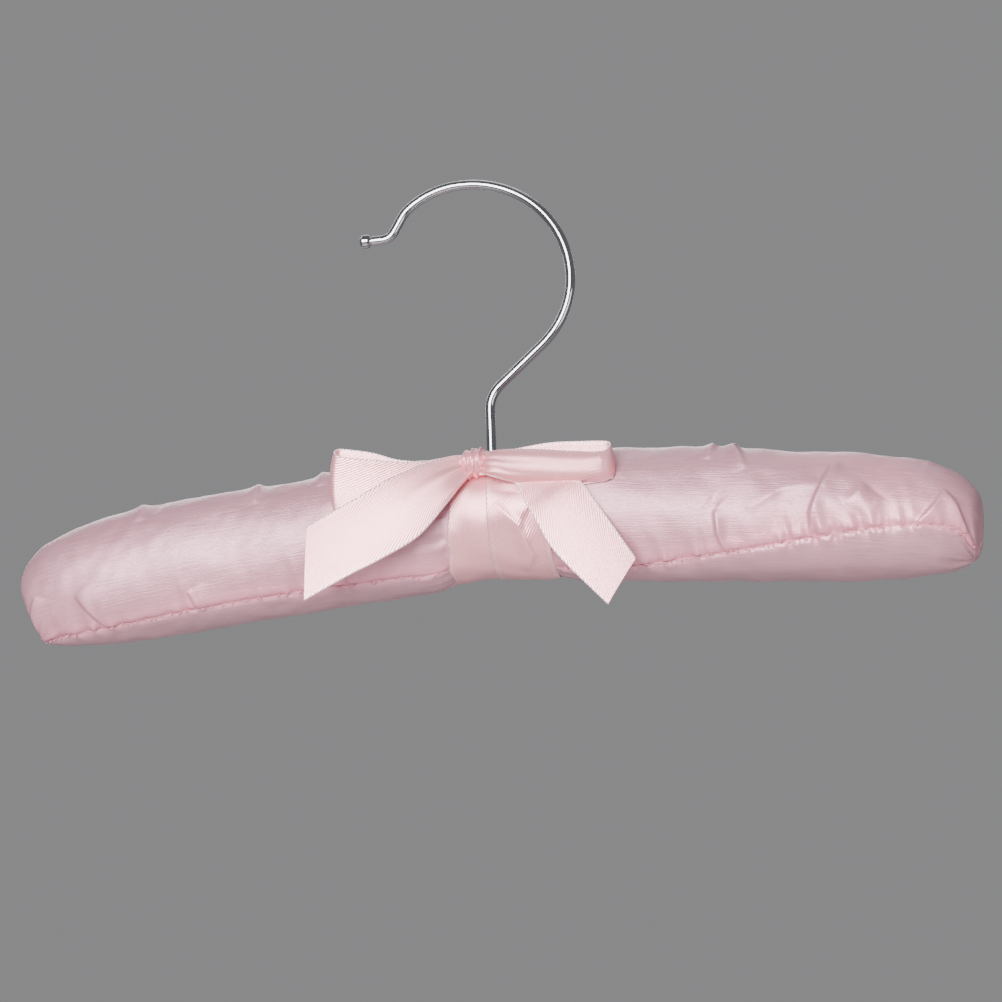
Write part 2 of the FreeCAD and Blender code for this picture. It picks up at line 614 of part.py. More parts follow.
def ribbon_wrap():
    """Two turns of ribbon round the waist, with room for the shank between them."""
    clearance = dim("wrap_clearance")
    outside = wrap_solid("wrap_outside", f"({clearance} + 2 * {dim('ribbon_thickness')})", "0")
    inside = wrap_solid("wrap_inside", clearance, "1")
    turns = boolean("Cut", "wrap_turns", outside, inside)
    gap = doc.addObject("Part::Cylinder", "shank_gap")
    gap.setExpression("Radius", f"({WIRE_RADIUS} + {dim('shank_gap')})")
    gap.setExpression("Height", dim("arm_height"))
    gap.setExpression("Placement.Base.z", BODY_LEVEL)
    boolean("Cut", "ribbon_wrap", turns, gap)


def knot_place():
    """The middle of the knot, on the upper front of the wrap."""
    outward = f"({dim('wrap_clearance')} + 2 * {dim('ribbon_thickness')} + {half('knot_depth')})"
    rise = dim("knot_rise")
    height = f"({half('arm_height')} - {dim('waist_squeeze')} + {outward})"
    depth = f"({half('arm_depth')} - {dim('waist_squeeze')} + {outward})"
    return (
        f"(-{dim('knot_shift')})",
        f"(-{depth} * cos({rise}))",
        f"({BODY_LEVEL} + {height} * sin({rise}))",
    )


def bow_knot():
    """The wrapped middle of the bow, leaning back with the waist."""
    owner = body("bow_knot")
    front = sketch_on(owner, "XY_Plane", "knot_front")
    corner = (half("knot_width"), half("knot_height"))
    rectangle(front, "knot", (f"(-{corner[0]})", f"(-{corner[1]})"), corner)
    block = pad(owner, front, dim("knot_depth"), both_ways=True)
    doc.recompute()
    soft = owner.newObject("PartDesign::Fillet", "knot_soft")
    soft.Base = (block, [f"Edge{i + 1}" for i in range(len(block.Shape.Edges))])
    soft.setExpression("Radius", dim("knot_rounding"))
    settle(owner, knot_place(), f"(90 - {dim('knot_rise')})")


def settle(owner, place, lean, fall="0", swing="0"):
    """Stands up a body drawn flat with its length along X, then puts it in place: lean 90 is upright
    and less tips it back, fall turns its right-hand end down, swing brings that end forward."""
    turned_down = Rotation(Vector(0, 0, 1), -number(fall))
    stood_up = Rotation(Vector(1, 0, 0), number(lean))
    swung = Rotation(Vector(0, 0, 1), -number(swing))
    owner.Placement.Rotation = swung * stood_up * turned_down
    for axis, expression in zip("xyz", place):
        owner.setExpression(f"Placement.Base.{axis}", expression)


def beside_knot(side, shift, forward, drop):
    """A place at one side of the knot, in front of its middle and below it."""
    x, y, z = knot_place()
    return (f"({x} + {side} * {shift})", f"({y} - {forward})", f"({z} - {drop})")


def bow_loop(side):
    """One loop of the bow: two faces of ribbon from the knot to a soft fold."""
    word = WORDS[side]
    owner = body(f"bow_loop_{word}")
    edge_on = sketch_on(owner, "XZ_Plane", f"loop_{word}")
    length = dim(f"loop_{word}_length")
    ribbon = dim("ribbon_thickness")
    for name, inset in (("outside", "0"), ("inside", ribbon)):
        root, fold = f"({half('loop_root')} - {inset})", f"({half('loop_fullness')} - {inset})"
        near, far = f"({side} * {inset})", f"({side} * ({length} - {inset}))"
        corners = [(near, f"(-{root})"), (far, f"(-{fold})"), (far, fold), (near, root)]
        polygon(edge_on, name, corners)
    band = pad(owner, edge_on, dim("ribbon_width"), both_ways=True)
    doc.recompute()
    for name, depth in (("fold_inside", ribbon), ("fold_outside", "0")):
        fillet = owner.newObject("PartDesign::Fillet", f"{name}_{word}")
        fillet.Base = (band, edges_at(band, number(f"({length} - {depth})")))
        fillet.setExpression("Radius", f"(0.96 * ({half('loop_fullness')} - {depth}))")
        doc.recompute()
        band = fillet
    at = beside_knot(side, half("knot_width"), dim(f"loop_{word}_forward"), dim(f"loop_{word}_drop"))
    fall, swing = (f"({side} * {dim(f'loop_{word}_{name}')})" for name in ("fall", "swing"))
    settle(owner, at, dim(f"loop_{word}_lean"), fall, swing)


def edges_at(band, distance):
    """The two straight edges across the ribbon at a distance from the knot."""
    return [
        f"Edge{i + 1}" for i, edge in enumerate(band.Shape.Edges)
        if abs(abs(edge.CenterOfMass.x) - distance) < 0.001
        and isinstance(edge.Curve, Part.Line) and abs(edge.Curve.Direction.y) > 0.99
    ]


def bow_tail(side):
    """One tail of the bow: gathered at the knot, then full width to its slanted cut."""
    word = WORDS[side]
    owner = body(f"bow_tail_{word}")
    face = sketch_on(owner, "XY_Plane", f"tail_{word}")
    lead, run = dim(f"tail_{word}_lead"), dim(f"tail_{word}_length")
    lead_fall, run_fall = dim(f"tail_{word}_lead_fall"), dim(f"tail_{word}_fall")
    slant = dim(f"tail_{word}_cut")
    bend = polar(("0", "0"), f"(-{lead_fall})", lead)
    corners = []
    for edge in (1, -1):
        root = polar(("0", "0"), f"({edge} * 90 - {lead_fall})", half("tail_root"))
        knee = polar(bend, f"({edge} * 90 - ({lead_fall} + {run_fall}) / 2)", half("ribbon_width"))
        end = polar(bend, f"(-{run_fall})", f"({run} - {edge} * {slant} / 2)")
        tip = polar(end, f"({edge} * 90 - {run_fall})", half("ribbon_width"))
        corners.append([root, knee, tip])
    outline = corners[0] + corners[1][::-1]
    polygon(face, "tail", [(f"({side} * {x})", y) for x, y in outline])
    pad(owner, face, dim("ribbon_thickness"), both_ways=True)
    at = beside_knot(side, half("loop_root"), dim(f"tail_{word}_forward"), dim("tail_drop"))
    settle(owner, at, "90", swing=f"({side} * {dim(f'tail_{word}_swing')})")


# ---------------------------------------------------------------- the whole hanger

def check_document():
    """Stops if any object of the document failed."""
    doc.recompute()
    for item in doc.Objects:
        if "Invalid" in item.State or "Error" in item.State:
            raise RuntimeError(f"{item.Name} failed: {item.State}")


def write(names):
    """Writes each sub-part to its own file, after checking its shape."""
    found = {}
    for item in doc.Objects:
        found.setdefault(item.Label, item)
    for name in names:
        shape = found[name].Shape
        if shape.isNull() or not shape.isValid() or shape.Volume <= 0:
            raise RuntimeError(f"{name} has no valid shape")
    os.makedirs("parts", exist_ok=True)
    for name in names:
        found[name].Shape.exportStep(f"parts/{name}.step")


NAMES = [
    "hook", "hook_nut", "hook_washer", "hook_ferrule", "wooden_core", "ribbon_wrap", "bow_knot",
]
PAIRS = [
    "foam_pad", "satin_sleeve", "binding_thread", "seam_thread", "bow_loop", "bow_tail",
]

hook()
hook_nut()
hook_washer()
hook_ferrule()
core_board = wooden_core()
for arm_side in (-1, 1):
    arm(arm_side, core_board)
ribbon_wrap()
bow_knot()
for bow_side in (-1, 1):
    bow_loop(bow_side)
    bow_tail(bow_side)
check_document()
write(NAMES + [f"{name}_{word}" for name in PAIRS for word in WORDS.values()])
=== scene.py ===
"""A small padded clothes hanger: satin sleeves over wadded arms, a ribbon bow and a chromed swivel hook."""

import functools
import math

import bmesh
import bpy
import numpy as np
from bpy.props import FloatProperty, FloatVectorProperty, PointerProperty
from mathutils import Matrix, Vector
from mathutils.bvhtree import BVHTree


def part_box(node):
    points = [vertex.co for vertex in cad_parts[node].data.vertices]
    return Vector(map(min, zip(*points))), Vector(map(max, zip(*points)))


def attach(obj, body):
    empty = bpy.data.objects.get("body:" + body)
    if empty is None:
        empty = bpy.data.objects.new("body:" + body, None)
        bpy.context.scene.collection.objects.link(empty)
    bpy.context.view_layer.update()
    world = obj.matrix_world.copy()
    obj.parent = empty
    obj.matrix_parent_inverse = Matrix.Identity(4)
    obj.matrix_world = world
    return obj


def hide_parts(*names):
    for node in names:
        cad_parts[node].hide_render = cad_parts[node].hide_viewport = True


bl_info = {
    "name": "Padded Satin Hanger",
    "version": (1, 0, 0),
    "blender": (4, 5, 0),
    "location": "View3D > Sidebar > Hanger",
    "description": "Builds the soft parts, threads and finishes of a padded satin clothes hanger",
    "category": "Object",
}

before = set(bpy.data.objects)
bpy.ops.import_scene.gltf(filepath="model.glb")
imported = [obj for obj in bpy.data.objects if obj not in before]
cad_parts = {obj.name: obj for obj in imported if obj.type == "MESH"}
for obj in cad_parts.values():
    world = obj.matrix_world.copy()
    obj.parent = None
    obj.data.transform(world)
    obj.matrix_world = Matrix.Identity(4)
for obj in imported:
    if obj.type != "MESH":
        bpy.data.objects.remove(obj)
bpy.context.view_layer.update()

MM = 0.001
SIDES = {"left": -1, "right": 1}
PADDED_BODY = "padded_body"


# ---------------------------------------------------------------- measuring the hanger

def box_mm(node):
    """Lowest and highest corner of a part, in millimetres."""
    low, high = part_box(node)
    return np.array(low) / MM, np.array(high) / MM


def surface_of(node):
    """A search tree over a part's faces, in metres."""
    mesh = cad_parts[node].data
    return BVHTree.FromPolygons(
        [vertex.co for vertex in mesh.vertices], [face.vertices for face in mesh.polygons]
    )


def section(tree, x):
    """Centre height, half height and half depth of an arm x millimetres along X."""
    far = 1.0
    top = tree.ray_cast(Vector((x * MM, 0, far)), Vector((0, 0, -1)))[0].z
    bottom = tree.ray_cast(Vector((x * MM, 0, -far)), Vector((0, 0, 1)))[0].z
    centre = (top + bottom) / 2
    front = tree.ray_cast(Vector((x * MM, -far, centre)), Vector((0, 1, 0)))[0].y
    return centre / MM, (top - bottom) / 2 / MM, -front / MM


INNER_PLACE = 55.0
OUTER_PLACE = 90.0
_satin = surface_of("satin_sleeve_right")
_inner = section(_satin, INNER_PLACE)
_outer = section(_satin, OUTER_PLACE)
ARM_FALL = (_inner[0] - _outer[0]) / (OUTER_PLACE - INNER_PLACE)
ARM_LEVEL = _inner[0] + ARM_FALL * INNER_PLACE
HALF_HEIGHT = _inner[1]
HALF_DEPTH = _inner[2]
ARM_START = box_mm("satin_sleeve_right")[0][0]
ARM_REACH = box_mm("satin_sleeve_right")[1][0]
WRAP_LOW, WRAP_HIGH = box_mm("ribbon_wrap")
WRAP_EDGE = {-1: -WRAP_LOW[0], 1: WRAP_HIGH[0]}
KNOT_LOW, KNOT_HIGH = box_mm("bow_knot")
KNOT = (KNOT_LOW + KNOT_HIGH) / 2


# ---------------------------------------------------------------- sizes and colours

def length(name, description, default):
    """A length property, from a default in millimetres."""
    return FloatProperty(name=name, description=description, default=default * MM, unit="LENGTH")


def colour(name, description, default):
    """A colour property."""
    return FloatVectorProperty(
        name=name, description=description, default=default, size=3, subtype="COLOR", min=0, max=1
    )


def turn(name, description, degrees):
    """An angle property, from a default in degrees."""
    return FloatProperty(
        name=name, description=description, default=math.radians(degrees), unit="ROTATION"
    )


class SleeveSizes(bpy.types.PropertyGroup):
    """Sizes of the satin sleeves and the wadding inside them."""

    end_length: length("End rounding", "Length of arm that rounds off", 66)
    end_droop: length("End droop", "How far the middle of the tip hangs", 3)
    squeeze: length("Squeeze", "How far the ribbon presses the satin in", 2.1)
    swell: length("Swell", "Length over which the satin swells beside the ribbon", 11)
    slack: length("Slack", "Height of the satin's slow waves", 0.17)
    pucker: length("Pucker", "Height of the puckers along the seam", 0.8)
    pucker_pitch: length("Pucker pitch", "Distance between puckers", 7.5)
    gather: length("Gather", "Height of the gathers at the ribbon", 0.75)
    groove: length("Seam groove", "Depth of the seam", 0.7)
    corner: length("Corner", "How far the sewn corner stands out", 1.1)
    fabric: length("Fabric", "Thickness of the satin", 0.4)
    wadding_gap: length("Wadding gap", "From the satin's face to the wadding", 2.9)
    stitch: length("Stitch", "Length of one stitch", 2.3)
    thread: length("Thread", "Diameter of the sewing thread", 0.3)


class RibbonSizes(bpy.types.PropertyGroup):
    """Sizes of the satin ribbon."""

    width: length("Width", "Width of the ribbon", 20)
    thickness: length("Thickness", "Thickness of the ribbon", 0.34)
    picot: length("Edge loop", "How far the loops of the woven edge stand out", 0.22)
    picot_pitch: length("Edge pitch", "Distance between loops of the woven edge", 1.15)
    clearance: length("Clearance", "Gap the bow keeps from what it lies on", 0.45)


class StageSizes(bpy.types.PropertyGroup):
    """Where the camera stands, and the floor."""

    azimuth: turn("Azimuth", "How far round the camera stands", 11)
    elevation: turn("Elevation", "How far above the hanger the camera stands", -15)
    roll: turn("Roll", "How far the hanger is tipped in the view", 2.1)
    distance: length("Distance", "From the camera to what it looks at", 1900)
    lens: FloatProperty(name="Lens", description="Focal length in millimetres", default=204.8)
    floor_drop: length("Floor drop", "From the hook's crown down to the floor", 1450)


class HangerColours(bpy.types.PropertyGroup):
    """Colours of the fabrics, threads and metals."""

    satin: colour("Satin", "Sleeve satin", (0.48, 0.23, 0.275))
    # Painted light: a brighter, stronger pink, painted along the seam as bounced light and in the hollows of
    # the folds as shade.
    satin_painted_light: colour("Deep satin", "Sleeve satin inside its folds", (0.88, 0.31, 0.41))
    ribbon: colour("Ribbon", "Ribbon satin", (0.95, 0.40, 0.45))
    ribbon_deep: colour("Deep ribbon", "Ribbon between its threads", (0.74, 0.24, 0.27))
    ribbon_edge: colour("Ribbon edge", "Woven edge of the ribbon", (0.96, 0.62, 0.66))
    thread: colour("Thread", "Sewing thread", (0.60, 0.26, 0.32))
    wadding: colour("Wadding", "Polyester wadding", (0.86, 0.85, 0.82))
    chrome: colour("Chrome", "Plating of the hook", (0.38, 0.38, 0.40))
    zinc: colour("Zinc", "Plating of the nut and washer", (0.55, 0.56, 0.58))
    brass: colour("Brass", "Bearing sleeve", (0.72, 0.50, 0.20))
    beech: colour("Beech", "Early wood of the core", (0.62, 0.42, 0.25))
    beech_late: colour("Late beech", "Late wood of the core", (0.42, 0.25, 0.13))
    floor: colour("Floor", "Studio floor", (0.90, 0.89, 0.88))
    air: colour("Background", "Studio background", (0.78, 0.78, 0.80))


def sleeve_mm(name):
    """One of the sleeve sizes, in millimetres."""
    return getattr(bpy.context.scene.hanger_sleeve, name) / MM


def ribbon_mm(name):
    """One of the ribbon sizes, in millimetres."""
    return getattr(bpy.context.scene.hanger_ribbon, name) / MM


def shade(name):
    """One of the colours, with full alpha."""
    return (*getattr(bpy.context.scene.hanger_colours, name), 1.0)


# ---------------------------------------------------------------- meshes and curves

def grid_mesh(name, points, closed=False, flow=None):
    """A smooth mesh over a grid of points in millimetres; closed joins its last column to the first.
    flow is the place of each point along and across the cloth, in millimetres."""
    rows, columns = points.shape[:2]
    mesh = bpy.data.meshes.new(name)
    steps = columns if closed else columns - 1
    i, j = np.meshgrid(np.arange(rows - 1), np.arange(steps), indexing="ij")
    i, j = i.ravel(), j.ravel()
    after = (j + 1) % columns
    corners = np.stack(
        [i * columns + j, i * columns + after, (i + 1) * columns + after, (i + 1) * columns + j], 1
    )
    mesh.from_pydata((points.reshape(-1, 3) * MM).tolist(), [], corners.tolist())
    if flow is not None:
        layer = mesh.uv_layers.new(name="flow")
        ends = np.stack(
            [flow[i, j], flow[i, j + 1], flow[i + 1, j + 1], flow[i + 1, j]], 1
        )
        layer.data.foreach_set("uv", ends.reshape(-1))
    mesh.polygons.foreach_set("use_smooth", np.ones(len(mesh.polygons), bool))
    mesh.update()
    return mesh


def piece(name, data, *materials):
    """An object of the hanger, with its materials."""
    made = bpy.data.objects.new(name, data)
    bpy.context.scene.collection.objects.link(made)
    for material in materials:
        data.materials.append(material)
    return made


def thicken(made, thickness, offset):
    """Gives a sheet its thickness in millimetres; offset 0 puts it on both sides, and -1 inside."""
    thick = made.modifiers.new("thickness", "SOLIDIFY")
    thick.thickness = thickness * MM
    thick.offset = offset


def stand_for(made, node):
    """Puts a piece on the padded body in place of one of its parts."""
    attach(made, PADDED_BODY)
    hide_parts(node)


def mark(mesh, name, values):
    """Stores one number for each point of a mesh."""
    layer = mesh.attributes.new(name, "FLOAT", "POINT")
    layer.data.foreach_set("value", np.asarray(values, np.float32).ravel())


def grid_normals(points, closed=False):
    """Unit normals of a grid of points."""
    along = np.gradient(points, axis=0)
    if closed:
        across = (np.roll(points, -1, 1) - np.roll(points, 1, 1)) / 2
    else:
        across = np.gradient(points, axis=1)
    normals = np.cross(along, across)
    return normals / np.maximum(np.linalg.norm(normals, axis=2, keepdims=True), 1e-9)


def reach_along(points):
    """How far along a line of points each of them is, from 0."""
    steps = np.linalg.norm(np.diff(points, axis=0), axis=1)
    return np.concatenate([[0], np.cumsum(steps)])


def spline(stations, count):
    """Points on a smooth line through a few stations, evenly spread by station number."""
    stations = np.asarray(stations, float)
    padded = np.concatenate(
        [2 * stations[:1] - stations[1:2], stations, 2 * stations[-1:] - stations[-2:-1]]
    )
    places = np.linspace(0, len(stations) - 1, count)
    run = np.minimum(places.astype(int), len(stations) - 2)
    t = (places - run)[:, None]
    before, start, end, beyond = (padded[run + k] for k in range(4))
    return 0.5 * (
        2 * start
        + (end - before) * t
        + (2 * before - 5 * start + 4 * end - beyond) * t ** 2
        + (3 * start - before - 3 * end + beyond) * t ** 3
    )


def thread_curve(name, runs, diameter, material):
    """Sewing thread along several short lines of points, in millimetres."""
    curve = bpy.data.curves.new(name, "CURVE")
    curve.dimensions = "3D"
    curve.bevel_depth = diameter / 2 * MM
    curve.bevel_resolution = 2
    curve.resolution_u = 4
    curve.use_fill_caps = True
    for run in runs:
        line = curve.splines.new("NURBS")
        line.points.add(len(run) - 1)
        for place, point in zip(line.points, run):
            place.co = (*(np.asarray(point) * MM), 1)
        line.order_u = 3
        line.use_endpoint_u = True
    return piece(name, curve, material)


# ---------------------------------------------------------------- folds

def fold(along, across, path, height, left, right):
    """Height of a fold whose crest follows a path; it falls away over left and right millimetres.
    The path and the points are in millimetres along and across the flat cloth."""
    path = np.asarray(path, float)
    reach = reach_along(path)
    nearest = np.full(along.shape, np.inf)
    raised = np.zeros(along.shape)
    for k in range(len(path) - 1):
        run = path[k + 1] - path[k]
        size = np.linalg.norm(run)
        run = run / size
        offset_along = along - path[k][0]
        offset_across = across - path[k][1]
        place = np.clip(offset_along * run[0] + offset_across * run[1], 0, size)
        side = run[0] * offset_across - run[1] * offset_along
        apart = np.hypot(offset_along - place * run[0], offset_across - place * run[1])
        share = (reach[k] + place) / reach[-1]
        fade = np.clip(np.sin(np.pi * np.clip(share, 0, 1)), 0.0, 1) ** 0.6
        width = np.where(side > 0, left, right)
        rise = height * fade * np.exp(-((apart / width) ** 1.5))
        closer = apart < nearest
        raised = np.where(closer, rise, raised)
        nearest = np.minimum(nearest, apart)
    return raised


def slow_waves(along, across, seed, shortest, longest, count=14):
    """Smooth irregular waves of about unit height over flat cloth."""
    chance = np.random.default_rng(seed)
    total = np.zeros(np.broadcast(along, across).shape)
    for _ in range(count):
        wave = chance.uniform(shortest, longest)
        lean = chance.uniform(0, math.pi)
        start = chance.uniform(0, 2 * math.pi)
        total += np.sin(2 * math.pi * (along * math.cos(lean) + across * math.sin(lean)) / wave + start)
    return total / math.sqrt(count / 2)


def bump(value, middle, width):
    """A smooth hump of height 1 round a middle value."""
    return np.exp(-(((value - middle) / width) ** 2))


# ---------------------------------------------------------------- the arms

# Folds of the sleeves: path as (mm out along the arm, degrees up from the front), height in mm,
# and how far the fold falls away on the left and on the right of its path.
SLEEVE_FOLDS = {
    -1: [
        ([(140, -20), (134, -46), (130, -64)], 1.3, 0.55, 6.0),
        ([(101.5, -36), (98, -60)], 1.3, 0.55, 5.0),
        ([(155, -12), (157.5, -40), (155, -80)], 1.5, 0.7, 5.5),
        ([(118, 40), (118.5, 56), (119, 84)], 1.2, 2.2, 2.4),
        ([(77.5, 36), (78, 60), (78.5, 86)], 1.4, 1.3, 2.8),
        ([(113, 46), (112, 70)], -0.5, 2.0, 3.0),
        ([(55.5, 44), (56, 66), (57.5, 96)], 1.5, 3.0, 2.0),
        ([(66, -16), (63, -46)], 0.4, 3.0, 5.0),
        ([(149, -30), (146, -66)], 0.35, 2.0, 4.0),
    ],
    1: [
        ([(117, 40), (112.5, 9), (109, -12), (108.5, -33)], 1.7, 6.5, 0.55),
        ([(77.5, -10), (78, -30), (80.5, -46)], 1.5, 2.6, 0.7),
        ([(76, 2), (79, -6)], -0.5, 2.5, 3.5),
        ([(88, -10), (100, 8), (112, 14)], 0.9, 4.0, 1.4),
        ([(121, -6), (128, 13)], 1.3, 2.6, 4.0),
        ([(142, -24), (149, 0), (152.5, 20)], 1.7, 0.6, 5.0),
        ([(151.5, 20), (155.5, 4), (159, -32)], 1.5, 0.6, 4.5),
        ([(74, 92), (76, 66), (75, 40)], 1.5, 1.6, 2.6),
        ([(84, 96), (83, 64), (88, 28)], 1.7, 1.5, 3.2),
        ([(64, 82), (66, 50)], 0.5, 3.0, 3.0),
        ([(119, 46), (117, 24), (113, 10)], 0.6, 2.0, 3.0),
        ([(132, 4), (128, -16)], 0.55, 2.4, 4.0),
        ([(94, 90), (148, 90)], -1.6, 20.0, 20.0),
    ],
}
# Folds across the back, which faces a wall or the next garment.
BACK_FOLDS = [
    ([(62, 150), (60, 196), (64, 222)], 0.6, 3.5, 4.5),
    ([(104, 140), (108, 178), (103, 214)], 0.7, 3.0, 5.0),
    ([(134, 160), (131, 206)], 0.7, 2.0, 5.5),
    ([(84, 196), (86, 232)], 0.5, 2.0, 4.0),
]
# The seam: (mm out along the arm, degrees up from the front).
SEAM_PATH = {
    -1: [
        (6, -62), (36, -59), (80, -56), (100, -56), (121, -60), (140, -65), (150, -72),
        (157, -84), (164, -90),
    ],
    1: [
        (6, -72), (36, -66), (60, -56), (89, -42), (123, -27), (142, -21), (151, -22),
        (157, -30), (160.3, -62), (161, -95), (164, -100),
    ],
}
CORNER_PLACE = {-1: (157.0, -84.0), 1: (160.3, -96.0)}
# The straight cut of each end, from high to low: mm out along the arm, and height.
END_CUT = {-1: ((163.2, -126.0), (155.6, -145.4)), 1: ((164.3, -124.0), (161.4, -142.4))}
END_SOFTNESS = 1.4  # millimetres over which the cloth turns into that cut
ARM_ROWS = 330
ARM_COLUMNS = 264
# How strongly each seam is puckered, and how far the puckers reach up and down from it, in millimetres.
PUCKER_STRENGTH = {-1: 0.75, 1: 1.15}
PUCKERS_ABOVE = 4.4
PUCKERS_BELOW = 1.6
GATHERS_REACH = 6.5  # millimetres the gathers run out from the ribbon
# Each sleeve's bulge under the arm: its height, and its place beyond the ribbon, in millimetres.
BULGE = {-1: (1.5, 6.0), 1: (1.0, 3.5)}


def arm_share(place):
    """How far a place is into the rounded end, from 0 to 1."""
    rounding = sleeve_mm("end_length")
    return np.clip((place - ARM_REACH + rounding) / rounding, 0, 1)


def arm_section(place, side):
    """Centre height, half height and half depth of an arm's plain shape."""
    share = arm_share(place)
    rounded = np.maximum(1 - share ** 3, 0) ** (1 / 3)
    centre = ARM_LEVEL - ARM_FALL * place - share ** 3 * sleeve_mm("end_droop")
    beyond = np.clip((place - WRAP_EDGE[side]) / sleeve_mm("swell"), 0, 1)
    pressed = sleeve_mm("squeeze") * (1 - beyond * beyond * (3 - 2 * beyond))
    return centre, HALF_HEIGHT * rounded - pressed, HALF_DEPTH * rounded - pressed


def arm_point(place, side, angle, inset=0.0):
    """Points of an arm's plain shape, some degrees up from its front."""
    centre, half_height, half_depth = arm_section(place, side)
    turned = np.radians(angle)
    y = -np.maximum(half_depth - inset, 0) * np.cos(turned)
    z = centre + np.maximum(half_height - inset, 0) * np.sin(turned)
    return np.stack(np.broadcast_arrays(side * place, y, z), -1)


def arm_stations(start, count, inset=0.0):
    """Places along an arm, evenly spaced along its curved outline."""
    share = np.linspace(0, 1, 4000)
    reach = ARM_REACH - inset
    place = reach - (reach - start) * (1 - share) ** 3
    _, half_height, _ = arm_section(place, 1)
    outline = np.hypot(np.diff(place), np.diff(half_height))
    run = np.concatenate([[0], np.cumsum(outline)])
    return np.interp(np.linspace(0, run[-1], count), run, place)


def flat_cloth(places, angles, side):
    """Millimetres along and up round the cloth for each point of an arm's grid."""
    points = arm_point(places[:, None], side, angles[None, :])
    steps = np.linalg.norm(np.diff(points, axis=1), axis=2)
    around = np.concatenate([np.zeros((len(places), 1)), np.cumsum(steps, axis=1)], axis=1)
    middle = np.argmin(np.abs(angles))
    around = around - around[:, middle:middle + 1]
    along = ARM_START + reach_along(points[:, middle])
    return np.broadcast_to(along[:, None], around.shape), around


def place_on_cloth(path, places, angles, along, around):
    """A path of (place, angle) turned into millimetres on the flat cloth."""
    found = []
    for place, angle in path:
        row = np.interp(place, places, np.arange(len(places)))
        column = np.interp(angle, angles, np.arange(len(angles)))
        i, j = int(round(row)), int(round(column))
        found.append((along[i, j], around[i, j]))
    return found


def seam_angle(place, side):
    """Degrees of the seam round the arm, at places along it."""
    path = np.array(SEAM_PATH[side], float)
    smooth = spline(path, 200)
    return np.interp(place, smooth[:, 0], smooth[:, 1])


def seam_relief(places, angles, along, around, side):
    """The seam's groove and the puckers that run up and down from it."""
    seam = seam_angle(places, side)
    columns = np.interp(seam, angles, np.arange(len(angles)))
    line = np.array([around[i, int(round(c))] for i, c in enumerate(columns)])[:, None]
    above = around - line
    apart = np.abs(above)
    groove = -sleeve_mm("groove") * np.exp(-((apart / 0.7) ** 1.4))
    lip = np.where(above > 0, 0.3, 0.05) * np.exp(-(((apart - 2.6) / 1.8) ** 2))
    pitch = sleeve_mm("pucker_pitch")
    drift = 1.6 * slow_waves(along, 0 * around, 31 + side, 9, 34, 8)
    phase = 2 * math.pi * (along + drift + 0.28 * side * above) / pitch
    fine = 2 * math.pi * (along - 0.5 * drift) / (0.41 * pitch)
    strength = 0.55 + 0.45 * slow_waves(along, 0 * around, 41 + side, 18, 60, 6)
    strength = np.clip(strength, 0.15, 1.3) * PUCKER_STRENGTH[side]
    spread = np.where(above > 0, PUCKERS_ABOVE, PUCKERS_BELOW)
    near = np.exp(-apart / spread) * (1 - np.exp(-((apart / 0.8) ** 2)))
    ripple = np.sin(phase) + 0.45 * np.sin(fine) * np.exp(-apart / 2.2)
    puckers = sleeve_mm("pucker") * strength * near * ripple
    return groove + lip + puckers, apart, above


def gathered_end(places, angles, along, side):
    """Gathers where the ribbon presses the sleeve, and its bulge beside the ribbon."""
    beyond = places[:, None] - WRAP_EDGE[side]
    fade = np.exp(-np.maximum(beyond, 0) / GATHERS_REACH)
    wave = np.sin(np.radians(angles[None, :]) * 17 + 1.3 * side + 0.10 * along)
    wave = wave + 0.6 * np.sin(np.radians(angles[None, :]) * 29 + 0.9)
    gathers = sleeve_mm("gather") * 0.5 * fade * wave * np.clip((beyond + 1) / 3, 0, 1)
    under = bump(angles[None, :], -68.0, 30.0) + bump(angles[None, :], 292.0, 30.0)
    height, middle = BULGE[side]
    return gathers + height * under * bump(beyond, middle, 5.5)


def sewn_corner(places, angles, along, around, side):
    """The corner sewn at the lower end of a sleeve, and creases that run out from it."""
    (corner_along, corner_around), = place_on_cloth([CORNER_PLACE[side]], places, angles, along, around)
    reach = np.hypot(along - corner_along, around - corner_around)
    lean = np.arctan2(around - corner_around, along - corner_along)
    ear = sleeve_mm("corner") * np.exp(-((reach / 4.2) ** 1.3))
    creases = 0.62 * np.sin(9 * lean + 0.6) * np.exp(-reach / 8.5) * (1 - np.exp(-((reach / 3.0) ** 2)))
    return ear + creases


def sleeve_relief(places, angles, side):
    """How far the satin stands off the arm's plain shape, and a mask of painted light: bounce light painted
    along the seam, and shade painted where a point sinks into a fold.
    """
    along, around = flat_cloth(places, angles, side)
    sewn, apart, above = seam_relief(places, angles, along, around, side)
    relief = sewn + gathered_end(places, angles, along, side)
    relief += sewn_corner(places, angles, along, around, side)
    waves = slow_waves(along, around, 5 + side, 16, 46) + 0.35 * slow_waves(along, around, 9 + side, 6, 14)
    relief += sleeve_mm("slack") * waves * np.clip((along - WRAP_EDGE[side]) / 12, 0, 1)
    for path, height, left, right in SLEEVE_FOLDS[side] + BACK_FOLDS:
        line = place_on_cloth(path, places, angles, along, around)
        relief += fold(along, around, line, height, left, right)
    relief *= np.clip((places - WRAP_EDGE[side] + 1) / 3, 0, 1)[:, None]
    # Painted light: brighter pink above and along the seam stands in for light bounced up from below, and
    # pink in the hollows of the relief stands in for shade.
    painted_bounce = np.exp(-np.abs(apart) / 7.0) * (above > -0.5) + 0.6 * np.exp(-np.abs(apart) / 2.0)
    painted_light = np.clip(painted_bounce, 0, 1) * 0.8 + np.clip(-relief, 0, 1) * 0.3
    return relief, np.clip(painted_light, 0, 1), (along, around)


